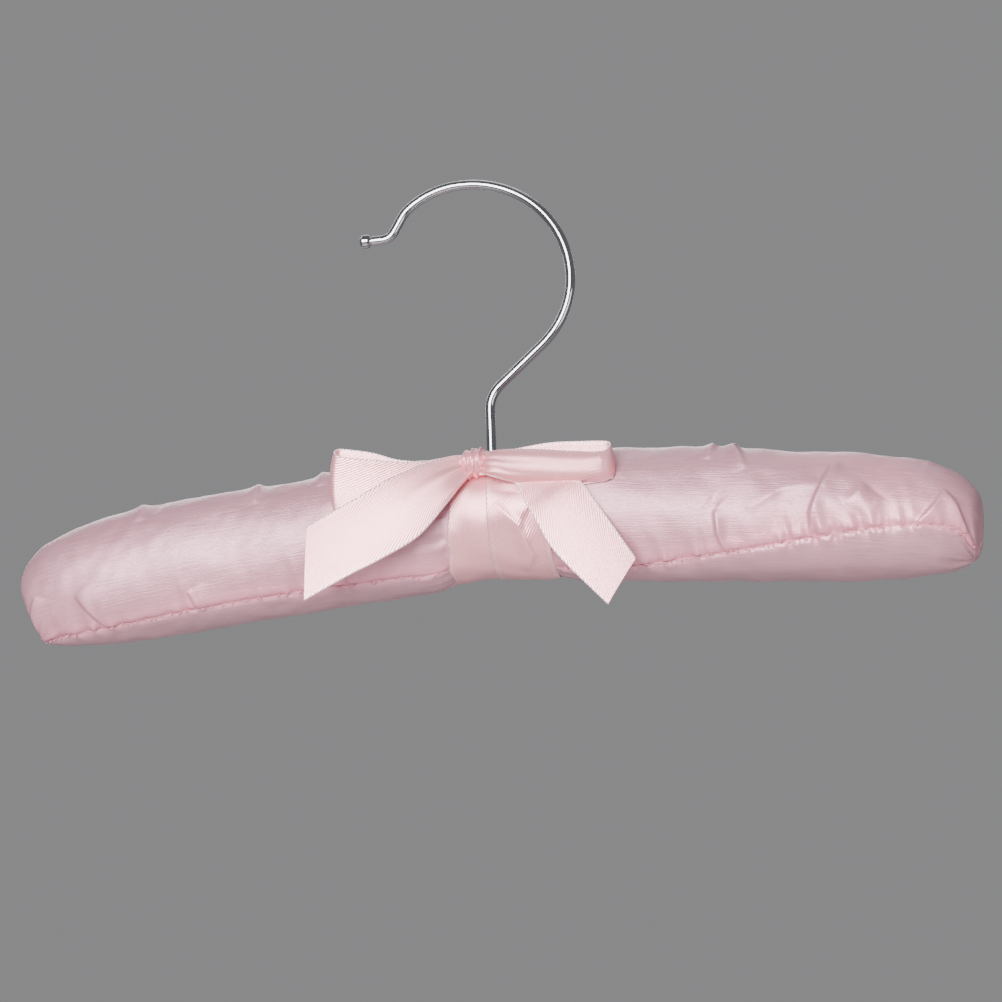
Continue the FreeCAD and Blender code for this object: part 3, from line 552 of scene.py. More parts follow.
# The simulated sleeve: its grid, its size against the real one, its frames, how far it may move a point
# in millimetres, the share of that which is kept, rounds of smoothing, and degrees held beside the seam.
SLACK_ROWS = 74
SLACK_COLUMNS = 78
SLACK_SCALE = 10.0
SLACK_FRAMES = 20
SLACK_LIMIT = 1.1
SLACK_SHARE = 0.5
SLACK_SMOOTHING = 6
SEAM_HOLD = 3.2
# A light satin, three and a half per cent too long, pushed out a little by its wadding.
SLACK_CLOTH = {
    "quality": 6,
    "mass": 0.15,
    "tension_stiffness": 25,
    "compression_stiffness": 25,
    "shear_stiffness": 5,
    "bending_stiffness": 0.4,
    "vertex_group_mass": "held",
    "shrink_min": -0.035,
    "use_pressure": True,
    "uniform_pressure_force": 4,
}


def slack_satin(side):
    """Settles a coarse, slightly long sleeve as cloth, and returns how far it moves off its plain shape.
    The sleeve is held at the ribbon, along its seam and at its sewn corner."""
    places = arm_stations(ARM_START, SLACK_ROWS, 0.4)
    angles = np.linspace(-135, 225, SLACK_COLUMNS, endpoint=False)
    points = arm_point(places[:, None], side, angles[None, :])
    mesh = grid_mesh("slack_satin", points * SLACK_SCALE, closed=True)
    cloth = piece("slack_satin", mesh)
    held = np.abs(angles[None, :] - seam_angle(places, side)[:, None]) < SEAM_HOLD
    held |= (places < WRAP_EDGE[side] + 1.5)[:, None]
    held |= (places > CORNER_PLACE[side][0] + 3)[:, None]
    group = cloth.vertex_groups.new(name="held")
    group.add([int(k) for k in np.flatnonzero(held.ravel())], 1.0, "REPLACE")
    settings = cloth.modifiers.new("cloth", "CLOTH").settings
    for name, value in SLACK_CLOTH.items():
        setattr(settings, name, value)
    settings.effector_weights.gravity = 0
    scene = bpy.context.scene
    for number in range(1, SLACK_FRAMES + 1):
        scene.frame_set(number)
    settled = cloth.evaluated_get(bpy.context.evaluated_depsgraph_get()).to_mesh()
    found = np.empty(len(settled.vertices) * 3)
    settled.vertices.foreach_get("co", found)
    moved = found.reshape(points.shape) / MM / SLACK_SCALE - points
    scene.frame_set(1)
    bpy.data.objects.remove(cloth)
    off = np.sum(moved * outward(points, side, True), axis=2)
    off = np.clip(off - np.median(off), -SLACK_LIMIT, SLACK_LIMIT)
    for _ in range(SLACK_SMOOTHING):
        off = (2 * off + np.roll(off, 1, 1) + np.roll(off, -1, 1)) / 4
        off[1:-1] = (2 * off[1:-1] + off[:-2] + off[2:]) / 4
    return places, angles, SLACK_SHARE * (off - off.mean(axis=1, keepdims=True))


def outward(points, side, closed=False):
    """Unit normals of an arm's grid, pointing out of the arm."""
    return grid_normals(points, closed) * side


def spread_offsets(coarse, places, angles):
    """Offsets from a coarse grid, read at a finer one."""
    coarse_places, coarse_angles, off = coarse
    wrapped = np.concatenate([off, off[:, :1]], axis=1)
    ring = np.concatenate([coarse_angles, [coarse_angles[0] + 360]])
    across = np.stack([np.interp(angles, ring, row) for row in wrapped])
    return np.stack([np.interp(places, coarse_places, across[:, j]) for j in range(len(angles))], 1)


SLEEVES = {}


def sleeve_grid(side):
    """The satin's face: a fine grid with its folds, seam, puckers and gathers."""
    places = arm_stations(ARM_START, ARM_ROWS)
    angles = np.linspace(-135, 225, ARM_COLUMNS + 1)
    relief, painted_light, flow = sleeve_relief(places, angles, side)
    plain = arm_point(places[:, None], side, angles[None, :])
    free = np.clip((places - WRAP_EDGE[side]) / 12, 0, 1) * np.clip((ARM_REACH - places) / 25, 0, 1)
    relief = relief + spread_offsets(slack_satin(side), places, angles) * free[:, None]
    relief = relief * np.clip((ARM_REACH - places) / 1.2, 0, 1)[:, None] ** 0.5
    relief[:, -1] = relief[:, 0]
    points = plain + outward(plain, side) * relief[:, :, None]
    points[:, -1] = points[:, 0]
    points = trimmed_end(points, side)
    SLEEVES[side] = (places, angles, points)
    return points, painted_light, flow


def trimmed_end(points, side, inset=0.0):
    """Draws the lower part of an arm's end in to the straight line that its cloth was cut to."""
    (high_x, high_z), (low_x, low_z) = END_CUT[side]
    run = np.array([low_x - high_x, low_z - high_z])
    out = np.array([-run[1], run[0]]) / np.hypot(*run)
    out = out * np.sign(-out[1])
    beyond = (points[:, :, 0] * side - low_x) * out[0] + (points[:, :, 2] - low_z) * out[1] + inset
    drawn = END_SOFTNESS * np.log1p(np.exp(np.clip(beyond / END_SOFTNESS, -30, 30)))
    trimmed = points.copy()
    trimmed[:, :, 0] -= side * out[0] * drawn
    trimmed[:, :, 2] -= out[1] * drawn
    return trimmed


def on_sleeve(place, angle, side, lift=0.0):
    """A point on a sleeve's finished face, lifted off it a little."""
    places, angles, points = SLEEVES[side]
    row = float(np.interp(place, places, np.arange(len(places))))
    column = float(np.interp(angle, angles, np.arange(len(angles))))
    i, j = min(int(row), len(places) - 2), min(int(column), len(angles) - 2)
    across = points[i, j] + (points[i, j + 1] - points[i, j]) * (column - j)
    beyond = points[i + 1, j] + (points[i + 1, j + 1] - points[i + 1, j]) * (column - j)
    centre, _, _ = arm_section(np.array(place), side)
    point = across + (beyond - across) * (row - i)
    away = np.array([0, point[1], point[2] - float(centre)])
    return point + away / max(np.linalg.norm(away), 1e-6) * lift


# ---------------------------------------------------------------- materials

class Finish:
    """A material under construction, with short ways to add its nodes."""

    def __init__(self, name):
        self.material = bpy.data.materials.new(name)
        self.material.use_nodes = True
        self.nodes = self.material.node_tree.nodes
        self.links = self.material.node_tree.links
        self.shader = self.nodes["Principled BSDF"]

    def add(self, kind, **inputs):
        """A node of a kind, with values for its inputs."""
        node = self.nodes.new(kind)
        for key, value in inputs.items():
            node.inputs[key.replace("_", " ")].default_value = value
        return node

    def join(self, output, target):
        """Links an output socket to an input socket."""
        self.links.new(output, target)

    def set(self, **values):
        """Sets sockets of the shader."""
        for key, value in values.items():
            self.shader.inputs[key.replace("_", " ")].default_value = value

    def place(self, scale, kind="Object"):
        """Coordinates, scaled by three numbers. Object coordinates are in metres."""
        if kind == "flow":
            source = self.nodes.new("ShaderNodeUVMap")
            source.uv_map = "flow"
            output = source.outputs["UV"]
        else:
            output = self.nodes.new("ShaderNodeTexCoord").outputs[kind]
        mapping = self.add("ShaderNodeMapping", Scale=scale)
        self.join(output, mapping.inputs["Vector"])
        return mapping.outputs["Vector"]

    def noise(self, where, scale, detail=3.0, roughness=0.5):
        """Noise at a place."""
        node = self.add("ShaderNodeTexNoise", Scale=scale, Detail=detail, Roughness=roughness)
        self.join(where, node.inputs["Vector"])
        return node.outputs["Fac"]

    def bands(self, where, scale, distortion=0.0, direction="X"):
        """Even bands across a direction."""
        node = self.add("ShaderNodeTexWave", Scale=scale, Distortion=distortion)
        node.bands_direction = direction
        self.join(where, node.inputs["Vector"])
        return node.outputs["Fac"]

    def ramp(self, value, low, high, start=0.0, end=1.0):
        """A value turned into numbers from start to end."""
        node = self.add("ShaderNodeMapRange", From_Min=low, From_Max=high, To_Min=start, To_Max=end)
        self.join(value, node.inputs["Value"])
        return node.outputs["Result"]

    def sum(self, first, second, share=1.0):
        """One value plus a share of another."""
        node = self.nodes.new("ShaderNodeMath")
        node.operation = "MULTIPLY_ADD"
        self.join(second, node.inputs[0])
        node.inputs[1].default_value = share
        self.join(first, node.inputs[2])
        return node.outputs[0]

    def blend(self, factor, first, second):
        """A mix of two colours; each is a colour or a socket."""
        node = self.nodes.new("ShaderNodeMix")
        node.data_type = "RGBA"
        self.join(factor, node.inputs["Factor"])
        for socket, value in ((node.inputs[6], first), (node.inputs[7], second)):
            if isinstance(value, bpy.types.NodeSocket):
                self.join(value, socket)
            else:
                socket.default_value = value
        return node.outputs[2]

    def attribute(self, name):
        """A number stored on the mesh."""
        node = self.nodes.new("ShaderNodeAttribute")
        node.attribute_name = name
        return node.outputs["Fac"]

    def colour_from(self, socket):
        """Joins a socket to the base colour."""
        self.join(socket, self.shader.inputs["Base Color"])

    def rough_from(self, socket):
        """Joins a socket to the roughness."""
        self.join(socket, self.shader.inputs["Roughness"])

    def relief(self, height, depth):
        """Bump from a height, depth in millimetres."""
        node = self.add("ShaderNodeBump", Strength=1.0, Distance=depth * MM)
        self.join(height, node.inputs["Height"])
        self.join(node.outputs["Normal"], self.shader.inputs["Normal"])


def satin_finish():
    """Slubbed pink satin: long uneven threads along the arm, crossed by a fine weave."""
    finish = Finish("sleeve_satin")
    slub = finish.noise(finish.place((0.075, 2.1, 1.0), "flow"), 1.0, 4.0, 0.6)
    weave = finish.noise(finish.place((0.9, 4.4, 1.0), "flow"), 1.0, 2.0, 0.5)
    cloud = finish.noise(finish.place((26, 26, 26)), 1.0, 2.0, 0.5)
    threads = finish.sum(slub, weave, 0.6)
    tone = finish.blend(finish.ramp(slub, 0.38, 0.62, 0.0, 0.5), shade("satin"), (0.62, 0.34, 0.41, 1))
    tone = finish.blend(finish.ramp(cloud, 0.35, 0.7, 0.0, 0.3), tone, (0.48, 0.21, 0.28, 1))
    # Painted light: the mask blends in the brighter pink, painted beside the seam as bounced light and in
    # the hollows as shade.
    painted_light = finish.ramp(finish.attribute("painted_light"), 0.0, 1.0, 0.0, 0.85)
    finish.colour_from(finish.blend(painted_light, tone, shade("satin_painted_light")))
    finish.rough_from(finish.ramp(threads, 0.5, 1.1, 0.34, 0.46))
    finish.set(Metallic=0.42, Specular_IOR_Level=0.5, Coat_Weight=0.5, Coat_Roughness=0.38)
    finish.relief(threads, 0.16)
    return finish.material


def ribbon_finish():
    """Ribbon satin: a fine diagonal twill, and a sewn line inside each woven edge."""
    finish = Finish("ribbon_satin")
    where = finish.place((1.0, 1.0, 1.0), "flow")
    turned = finish.add("ShaderNodeVectorRotate", Angle=math.radians(-28))
    turned.rotation_type = "Z_AXIS"
    finish.join(where, turned.inputs["Vector"])
    twill = finish.bands(turned.outputs["Vector"], 0.38, 0.25, "Y")
    grain = finish.noise(finish.place((0.7, 4.2, 1.0), "flow"), 1.0, 3.0, 0.55)
    threads = finish.sum(twill, grain, 0.9)
    tone = finish.blend(finish.ramp(twill, 0.15, 0.85, 0.4, 0.0), shade("ribbon"), shade("ribbon_deep"))
    tone = finish.blend(finish.ramp(grain, 0.35, 0.65, 0.0, 0.22), tone, (0.96, 0.50, 0.56, 1))
    edge = finish.attribute("edge")
    finish.colour_from(finish.blend(finish.ramp(edge, 0.2, 0.8, 0.0, 0.8), tone, shade("ribbon_edge")))
    finish.rough_from(finish.ramp(threads, 0.3, 1.4, 0.27, 0.38))
    finish.set(Metallic=0.6, Specular_IOR_Level=0.9, Coat_Weight=0.4, Coat_Roughness=0.28)
    finish.relief(threads, 0.07)
    return finish.material


def thread_finish(name, tone):
    """Spun thread, mottled by its fibres."""
    finish = Finish(name)
    fibre = finish.noise(finish.place((900, 900, 900)), 1.0, 3.0, 0.6)
    spun = shade(tone)
    paler = (*[min(1, value * 1.3) for value in spun[:3]], 1)
    finish.colour_from(finish.blend(finish.ramp(fibre, 0.3, 0.7), spun, paler))
    finish.set(Roughness=0.55, Sheen_Weight=0.2, Sheen_Roughness=0.5)
    finish.relief(fibre, 0.05)
    return finish.material


def wadding_finish():
    """White polyester wadding: soft tangled fibres."""
    finish = Finish("white_wadding")
    fibre = finish.noise(finish.place((420, 420, 420)), 1.0, 6.0, 0.7)
    clump = finish.noise(finish.place((60, 60, 60)), 1.0, 3.0, 0.5)
    finish.colour_from(finish.blend(finish.ramp(fibre, 0.3, 0.7), shade("wadding"), (0.95, 0.94, 0.92, 1)))
    finish.set(Roughness=0.95, Sheen_Weight=0.6, Sheen_Roughness=0.6)
    finish.relief(finish.sum(fibre, clump, 1.5), 0.6)
    return finish.material


def chrome_finish():
    """Bright chrome plating with faint drawing lines and handling marks."""
    finish = Finish("chromed_wire")
    haze = finish.noise(finish.place((90, 90, 90)), 1.0, 4.0, 0.6)
    marks = finish.noise(finish.place((420, 420, 90)), 1.0, 3.0, 0.5)
    dull = finish.ramp(haze, 0.4, 0.75, 0.0, 0.6)
    finish.colour_from(finish.blend(dull, shade("chrome"), (0.27, 0.28, 0.30, 1)))
    finish.rough_from(finish.ramp(finish.sum(haze, marks, 0.5), 0.5, 1.1, 0.06, 0.13))
    finish.set(Metallic=1.0)
    finish.relief(haze, 0.004)
    return finish.material


def metal_finish(name, tone, worn, rough):
    """Plated or drawn metal with small turning marks."""
    finish = Finish(name)
    marks = finish.noise(finish.place((300, 300, 2600)), 1.0, 4.0, 0.6)
    cloud = finish.noise(finish.place((240, 240, 240)), 1.0, 3.0, 0.5)
    finish.colour_from(finish.blend(finish.ramp(cloud, 0.35, 0.7), shade(tone), worn))
    finish.rough_from(finish.ramp(marks, 0.3, 0.7, rough, rough + 0.18))
    finish.set(Metallic=1.0)
    finish.relief(marks, 0.02)
    return finish.material


def beech_finish():
    """Plain beech: straight grain along the arms with short dark flecks."""
    finish = Finish("beech_wood")
    rings = finish.bands(finish.place((6, 90, 420)), 1.0, 3.5, "Z")
    flecks = finish.noise(finish.place((120, 1800, 1800)), 1.0, 3.0, 0.6)
    grain = finish.sum(rings, flecks, 0.5)
    finish.colour_from(finish.blend(finish.ramp(grain, 0.3, 1.2), shade("beech"), shade("beech_late")))
    finish.rough_from(finish.ramp(flecks, 0.3, 0.7, 0.5, 0.7))
    finish.relief(grain, 0.08)
    return finish.material


@functools.cache
def satin():
    """The sleeves' material."""
    return satin_finish()


@functools.cache
def ribbon_satin():
    """The ribbon's material."""
    return ribbon_finish()


@functools.cache
def thread():
    """The sewing thread's material."""
    return thread_finish("sewing_thread", "thread")


@functools.cache
def edge_thread():
    """The material of the ribbon's woven edges."""
    return thread_finish("woven_edge", "ribbon_edge")


# ---------------------------------------------------------------- ribbon strips

def ribbon_grid(upper, lower, crown, columns=56, step=0.24):
    """A strip of ribbon between two edges given by a few stations each.
    crown is how far the middle of the width stands out of the line between the edges, at each station."""
    fine = 400
    top, bottom = spline(upper, fine), spline(lower, fine)
    bow = spline(np.array(crown, float)[:, None], fine)[:, 0]
    middle = (top + bottom) / 2
    reach = reach_along(middle)
    rows = max(int(reach[-1] / step), 8)
    places = np.linspace(0, reach[-1], rows)
    top = np.stack([np.interp(places, reach, top[:, k]) for k in range(3)], 1)
    bottom = np.stack([np.interp(places, reach, bottom[:, k]) for k in range(3)], 1)
    bow = np.interp(places, reach, bow)
    share = np.linspace(0, 1, columns)
    points = top[:, None] * (1 - share[None, :, None]) + bottom[:, None] * share[None, :, None]
    facing = np.sign(middle[0, 0] - middle[fine // 4, 0])
    points = points + grid_normals(points) * (facing * bow[:, None] * 4 * share * (1 - share))[:, :, None]
    return points, places, share


def woven_edges(points, places, share):
    """Lets small loops stand out along both edges of a strip."""
    across = points[:, -1] - points[:, 0]
    across = across / np.maximum(np.linalg.norm(across, axis=1, keepdims=True), 1e-6)
    loops = ribbon_mm("picot") * np.abs(np.sin(np.pi * places / ribbon_mm("picot_pitch")))
    reach = np.maximum(0, 1 - np.minimum(share, 1 - share) / 0.03)
    out = np.where(share > 0.5, 1.0, -1.0) * reach
    return points + across[:, None] * (loops[:, None] * out[None, :])[:, :, None]


def creased(points, places, share, crimps, depth, run):
    """Pleats a strip where it is gathered into the knot, fading out along it."""
    normals = grid_normals(points)
    fade = np.exp(-places / run)[:, None]
    wave = np.sin(2 * np.pi * crimps * share + 0.7)[None, :] * fade
    wave = wave + 0.45 * np.sin(2 * np.pi * (crimps * 1.7) * share + 2.1)[None, :] * fade ** 1.5
    return points + normals * (depth * wave)[:, :, None]


def lay_against(points, trees, gap):
    """Moves points forward where they would be inside what is behind them."""
    moved = points.copy()
    flat = moved.reshape(-1, 3)
    for k in range(len(flat)):
        start = Vector((flat[k, 0] * MM, -0.2, flat[k, 2] * MM))
        for tree in trees:
            hit = tree.ray_cast(start, Vector((0, 1, 0)))[0]
            if hit is not None and flat[k, 1] > hit.y / MM - gap:
                flat[k, 1] = hit.y / MM - gap
    return moved


def ribbon_piece(name, points, places, share, stretch=1.0):
    """A strip of ribbon as a piece, with its woven edges marked for the material."""
    points = woven_edges(points, places, share)
    width = ribbon_mm("width")
    flow = np.stack(np.broadcast_arrays(places[:, None] * stretch, share[None, :] * width), -1)
    mesh = grid_mesh(name, points, flow=flow)
    inside = np.minimum(share, 1 - share) * width
    dashes = 0.5 + 0.5 * np.sin(2 * np.pi * places / ribbon_mm("picot_pitch"))[:, None]
    line = np.exp(-(((inside[None, :] - 1.1) / 0.35) ** 2)) * dashes
    mark(mesh, "edge", np.clip(np.exp(-inside[None, :] / 0.45) + 0.8 * line, 0, 1))
    made = piece(name, mesh, ribbon_satin())
    thicken(made, ribbon_mm("thickness"), 0)
    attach(made, PADDED_BODY)
    return made


def near_knot(offsets):
    """Points given from the middle of the knot, in millimetres."""
    return np.array(offsets, float) + KNOT


def edge_loops(name, points):
    """The small loops of a ribbon's woven edges, as a beaded line along each."""
    curve = bpy.data.curves.new(name, "CURVE")
    curve.dimensions = "3D"
    curve.bevel_depth = ribbon_mm("picot") * MM
    curve.bevel_resolution = 1
    curve.use_fill_caps = True
    for edge in (points[:, 0], points[:, -1]):
        reach = reach_along(edge)
        places = np.arange(0.6, reach[-1] - 0.3, ribbon_mm("picot_pitch") / 2)
        line = curve.splines.new("POLY")
        line.points.add(len(places) - 1)
        for k, place in enumerate(places):
            spot = [np.interp(place, reach, edge[:, axis]) * MM for axis in range(3)]
            line.points[k].co = (*spot, 1)
            line.points[k].radius = 1.25 if k % 2 else 0.7
    made = piece(name, curve, edge_thread())
    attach(made, PADDED_BODY)
    return made


def soft_trees(*names):
    """Search trees over finished pieces."""
    graph = bpy.context.evaluated_depsgraph_get()
    return [BVHTree.FromObject(bpy.data.objects[name], graph) for name in names]


# Stations of each ribbon strip: its upper edge, its lower edge, both from the middle of the knot,
# and the crown of its width, in millimetres.
LOOP_LEFT = [
    ((-1, -0.6, 2), (-1, -0.6, -4.5), 0.3),
    ((-6.2, -3.0, 1.7), (-5.8, -3.4, -6.6), 0.8),
    ((-12, -4.6, 0.7), (-12.5, -5.6, -12.0), 1.0),
    ((-19.5, -5.4, 0.1), (-21, -6.8, -16.4), 0.9),
    ((-32, -6.6, 1.7), (-34, -7.4, -17.6), 0.7),
    ((-43.0, -7.2, 3.6), (-44.6, -7.4, -15.6), 0.6),
    ((-45.9, -6.2, 5.6), (-46.6, -6.4, -14.2), 1.3),
    ((-45.6, -3.4, 7.4), (-46.0, -4.4, -12.8), 1.5),
    ((-43.4, -2.4, 7.6), (-44.2, -3.2, -12.6), 0.6),
    ((-34, -2.0, 5.6), (-35.5, -3.0, -13.6), 0.2),
    ((-25, -1.8, 2.4), (-25.5, -3.0, -13.5), 0.2),
    ((-14, -1.4, 1.0), (-14, -2.2, -8.5), -0.4),
    ((-3, -0.4, 1.6), (-3, -0.6, -4.0), 0.0),
]
LOOP_RIGHT = [
    ((1, 0.2, 2.6), (1, -1.2, -3.6), 0.6),
    ((5.0, -2.6, 2.6), (6.2, -3.0, -6.2), 2.2),
    ((11, -3.8, 2.4), (12, -1.8, -8.0), 3.4),
    ((20.5, -4.4, 1.4), (20, -1.4, -9.6), 3.8),
    ((33, -4.4, -0.4), (33, -1.4, -10.9), 3.9),
    ((42.6, -4.2, -1.4), (43.4, -2.2, -10.8), 3.2),
    ((45.4, -1.8, 0.4), (46.4, -2.0, -9.6), 1.4),
    ((44.6, 1.6, 3.4), (45.2, -0.8, -10.2), 0.8),
    ((36, 1.4, 4.2), (36, -0.8, -11.2), 1.4),
    ((25, 1.2, 4.6), (25, -0.8, -10.2), 1.4),
    ((13, 1.0, 3.4), (13, -0.4, -7.8), 1.0),
    ((2, 0.2, 2.0), (2, 0, -3.4), 0.0),
]
TAIL_LEFT = [
    ((-1.6, -1.4, 0.6), (-0.8, -1.4, -4.2), 0.4),
    ((-6.1, -3.6, 1.4), (-4.6, -3.6, -9.0), 0.9),
    ((-15.6, -6.2, -0.9), (-9.3, -5.8, -15.4), 1.4),
    ((-26.8, -8.2, -5.4), (-18.3, -7.4, -25.4), 1.3),
    ((-39.8, -8.9, -12.0), (-30.8, -8.2, -32.2), 0.9),
    ((-47.8, -9.0, -15.9), (-42.0, -8.5, -37.0), 0.7),
    ((-55.5, -9.0, -19.7), (-57.2, -8.8, -44.3), 0.6),
]
TAIL_RIGHT = [
    ((2.2, -1.0, -0.4), (1.8, -1.4, -4.6), 0.3),
    ((8.8, -0.6, 0.2), (5.6, -0.8, -5.0), 0.3),
    ((22.2, -1.2, -2.6), (13.6, -1.4, -8.6), 0.5),
    ((31.0, -2.4, -6.6), (17.2, -2.8, -15.8), 0.7),
    ((36.0, -3.4, -10.8), (20.9, -4.0, -22.9), 0.9),
    ((42.2, -3.9, -20.4), (27.2, -4.6, -34.4), 0.7),
    ((53.4, -4.4, -38.7), (43.8, -4.8, -53.2), 0.6),
]


# The bow's strips, in the order they are laid: pleats across the width, their depth, and how far they run
# from the knot, in millimetres.
STRIPS = (
    ("tail_right", TAIL_RIGHT, 2.4, 0.4, 9),
    ("loop_left", LOOP_LEFT, 2.6, 0.5, 8),
    ("loop_right", LOOP_RIGHT, 3.2, 0.45, 11),
    ("tail_left", TAIL_LEFT, 2.5, 0.5, 10),
)


def strip(name, stations, crimps, depth, run, both_ends, behind):
    """One loop or tail of the bow, laid against the pieces behind it; a loop is pleated at both its ends."""
    upper, lower, crown = zip(*stations)
    points, places, share = ribbon_grid(near_knot(upper), near_knot(lower), crown)
    points = creased(points, places, share, crimps, depth, run)
    if both_ends:
        flipped = creased(points[::-1], places, share, crimps, -depth, run)
        points = flipped[::-1]
    points = lay_against(points, soft_trees(*behind), ribbon_mm("clearance"))
    return ribbon_piece(name, points, places, share), edge_loops(f"{name}_edge", points)


# ---------------------------------------------------------------- operators

LOOKED_AT = Vector((2.53, 0, -109.39)) * MM
SENSOR_WIDTH = 36
VIEW_DEPTH = 20
FLOOR_HALF = 6000
FLOOR_POINTS = 25
SKY_STRENGTH = 0.33
LIT = Vector((0, 0, -100)) * MM
# Soft square lights: place in metres, side in metres, power in watts.
LIGHTS = (
    ("key_light", (-0.25, -1.7, 0.12), 1.15, 86),
    ("fill_light", (1.5, -1.1, -0.25), 0.9, 9),
    ("top_light", (0.1, 0.5, 1.3), 0.8, 2.5),
    ("back_light", (-0.5, 1.6, 0.9), 1.0, 11),
)


class HANGER_OT_stage(bpy.types.Operator):
    """Set up the camera, the pale floor and the soft studio lights"""

    bl_idname = "hanger.stage"
    bl_label = "Stage"

    def execute(self, context):
        sizes = context.scene.hanger_stage
        azimuth, elevation = sizes.azimuth, sizes.elevation
        back = Vector((
            math.sin(azimuth) * math.cos(elevation),
            -math.cos(azimuth) * math.cos(elevation),
            math.sin(elevation),
        ))
        data = bpy.data.cameras.new("camera")
        data.lens = sizes.lens
        data.sensor_width = SENSOR_WIDTH
        data.clip_end = VIEW_DEPTH
        camera = bpy.data.objects.new("camera", data)
        context.scene.collection.objects.link(camera)
        upright = back.to_track_quat("Z", "Y").to_matrix().to_4x4()
        camera.matrix_world = (
            Matrix.Translation(LOOKED_AT + back * sizes.distance)
            @ upright @ Matrix.Rotation(-sizes.roll, 4, "Z")
        )
        context.scene.camera = camera
        self.floor(context, sizes.floor_drop)
        self.lights(context)
        return {"FINISHED"}

    def floor(self, context, drop):
        """A pale floor with a faint mottle, far below the hanging part."""
        across = np.linspace(-FLOOR_HALF, FLOOR_HALF, FLOOR_POINTS)
        x, y = np.meshgrid(across, across, indexing="ij")
        points = np.stack([x, y, np.full_like(x, -drop / MM)], -1)
        finish = Finish("studio_floor")
        cloud = finish.noise(finish.place((3, 3, 3)), 1.0, 2.0, 0.5)
        tone = shade("floor")
        paler = (*[min(1, value * 1.06) for value in tone[:3]], 1)
        finish.colour_from(finish.blend(finish.ramp(cloud, 0.3, 0.7), tone, paler))
        finish.set(Roughness=0.85)
        piece("studio_floor", grid_mesh("studio_floor", points), finish.material)

    def lights(self, context):
        """Large soft lights from the front, the right, above and behind, and a pale sky."""
        for name, place, size, power in LIGHTS:
            data = bpy.data.lights.new(name, "AREA")
            data.size = size
            data.energy = power
            light = bpy.data.objects.new(name, data)
            light.location = Vector(place)
            light.rotation_euler = (light.location - LIT).to_track_quat("Z", "Y").to_euler()
            context.scene.collection.objects.link(light)
        world = bpy.data.worlds.new("studio")
        world.use_nodes = True
        sky = world.node_tree.nodes["Background"]
        sky.inputs["Color"].default_value = shade("air")
        sky.inputs["Strength"].default_value = SKY_STRENGTH
        context.scene.world = world


class HANGER_OT_hardware(bpy.types.Operator):
    """Finish the hook, its nut and washer, the bearing sleeve and the wooden core"""

    bl_idname = "hanger.hardware"
    bl_label = "Hook and core"

    def execute(self, context):
        zinc = metal_finish("zinc_steel", "zinc", (0.42, 0.43, 0.45, 1), 0.28)
        finishes = {
            "hook": chrome_finish(),
            "hook_nut": zinc,
            "hook_washer": zinc,
            "hook_ferrule": metal_finish("brass", "brass", (0.58, 0.37, 0.14, 1), 0.22),
            "wooden_core": beech_finish(),
        }
        for node, material in finishes.items():
            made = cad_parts[node]
            for slot in made.material_slots:
                slot.material = material
            if not made.material_slots:
                made.data.materials.append(material)
        return {"FINISHED"}


class HANGER_OT_wadding(bpy.types.Operator):
    """Pad each arm with wadding round the wooden core"""

    bl_idname = "hanger.wadding"
    bl_label = "Wadding"

    def execute(self, context):
        material = wadding_finish()
        tree = surface_of("wooden_core")
        core_end = box_mm("wooden_core")[1][0]
        for word, side in SIDES.items():
            gap = sleeve_mm("wadding_gap")
            start = box_mm(f"foam_pad_{word}")[0 if side > 0 else 1][0] * side
            places = arm_stations(start, 90, gap)
            angles = np.linspace(-180, 180, 72, endpoint=False)
            face = arm_point(places[:, None], side, angles[None, :], gap)
            tufts = slow_waves(places[:, None], angles[None, :] * 0.37, 61, 5, 20)
            face += outward(face, side, True) * (0.25 * tufts)[:, :, None]
            bore = self.bore(places, angles, side, tree, core_end)
            rows = np.concatenate([trimmed_end(face, side, gap), bore[::-1]])
            closing = np.concatenate([rows, rows[:1]])
            made = piece(f"wadding_{word}", grid_mesh(f"wadding_{word}", closing, closed=True), material)
            join_seam(made.data)
            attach(made, PADDED_BODY)
            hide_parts(f"foam_pad_{word}")
        return {"FINISHED"}

    def bore(self, places, angles, side, tree, core_end):
        """The hole that the core fills, closed just beyond the core's end."""
        room = 0.5
        half_thick = box_mm("wooden_core")[1][1] + room
        turned = np.radians(angles)
        rows = []
        for place in places:
            inside = min(place, core_end - 2)
            centre, half_height, _ = section(tree, side * inside)
            fade = 1.0 if place < core_end + 1 else 0.02
            corner = (np.abs(np.cos(turned)) ** 4 + np.abs(np.sin(turned)) ** 4) ** -0.25
            arm_centre, _, _ = arm_section(np.array(place), side)
            centre = centre if fade == 1.0 else float(arm_centre)
            y = -np.cos(turned) * corner * half_thick * fade
            z = centre + np.sin(turned) * corner * (half_height + room) * fade
            rows.append(np.stack([np.full_like(y, side * place), y, z], 1))
        return np.array(rows)


def join_seam(mesh):
    """Merges points that share a place and turns every face outward."""
    work = bmesh.new()
    work.from_mesh(mesh)
    bmesh.ops.remove_doubles(work, verts=work.verts, dist=1e-6)
    bmesh.ops.recalc_face_normals(work, faces=work.faces)
    work.to_mesh(mesh)
    work.free()
    mesh.update()


class HANGER_OT_sleeves(bpy.types.Operator):
    """Pull a satin sleeve over each arm, with its folds, seam, puckers and sewn corner"""

    bl_idname = "hanger.sleeves"
    bl_label = "Satin sleeves"

    def execute(self, context):
        for word, side in SIDES.items():
            points, painted_light, (along, around) = sleeve_grid(side)
            flow = np.stack([np.asarray(along), around], -1)
            name = f"sleeve_{word}"
            mesh = grid_mesh(name, points[:, :-1], closed=True, flow=flow)
            # Stores the mask of painted bounce light and painted shade for the satin.
            mark(mesh, "painted_light", painted_light[:, :-1])
            join_seam(mesh)
            made = piece(name, mesh, satin())
            thicken(made, sleeve_mm("fabric"), -1)
            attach(made, PADDED_BODY)
            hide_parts(f"satin_sleeve_{word}")
        return {"FINISHED"}


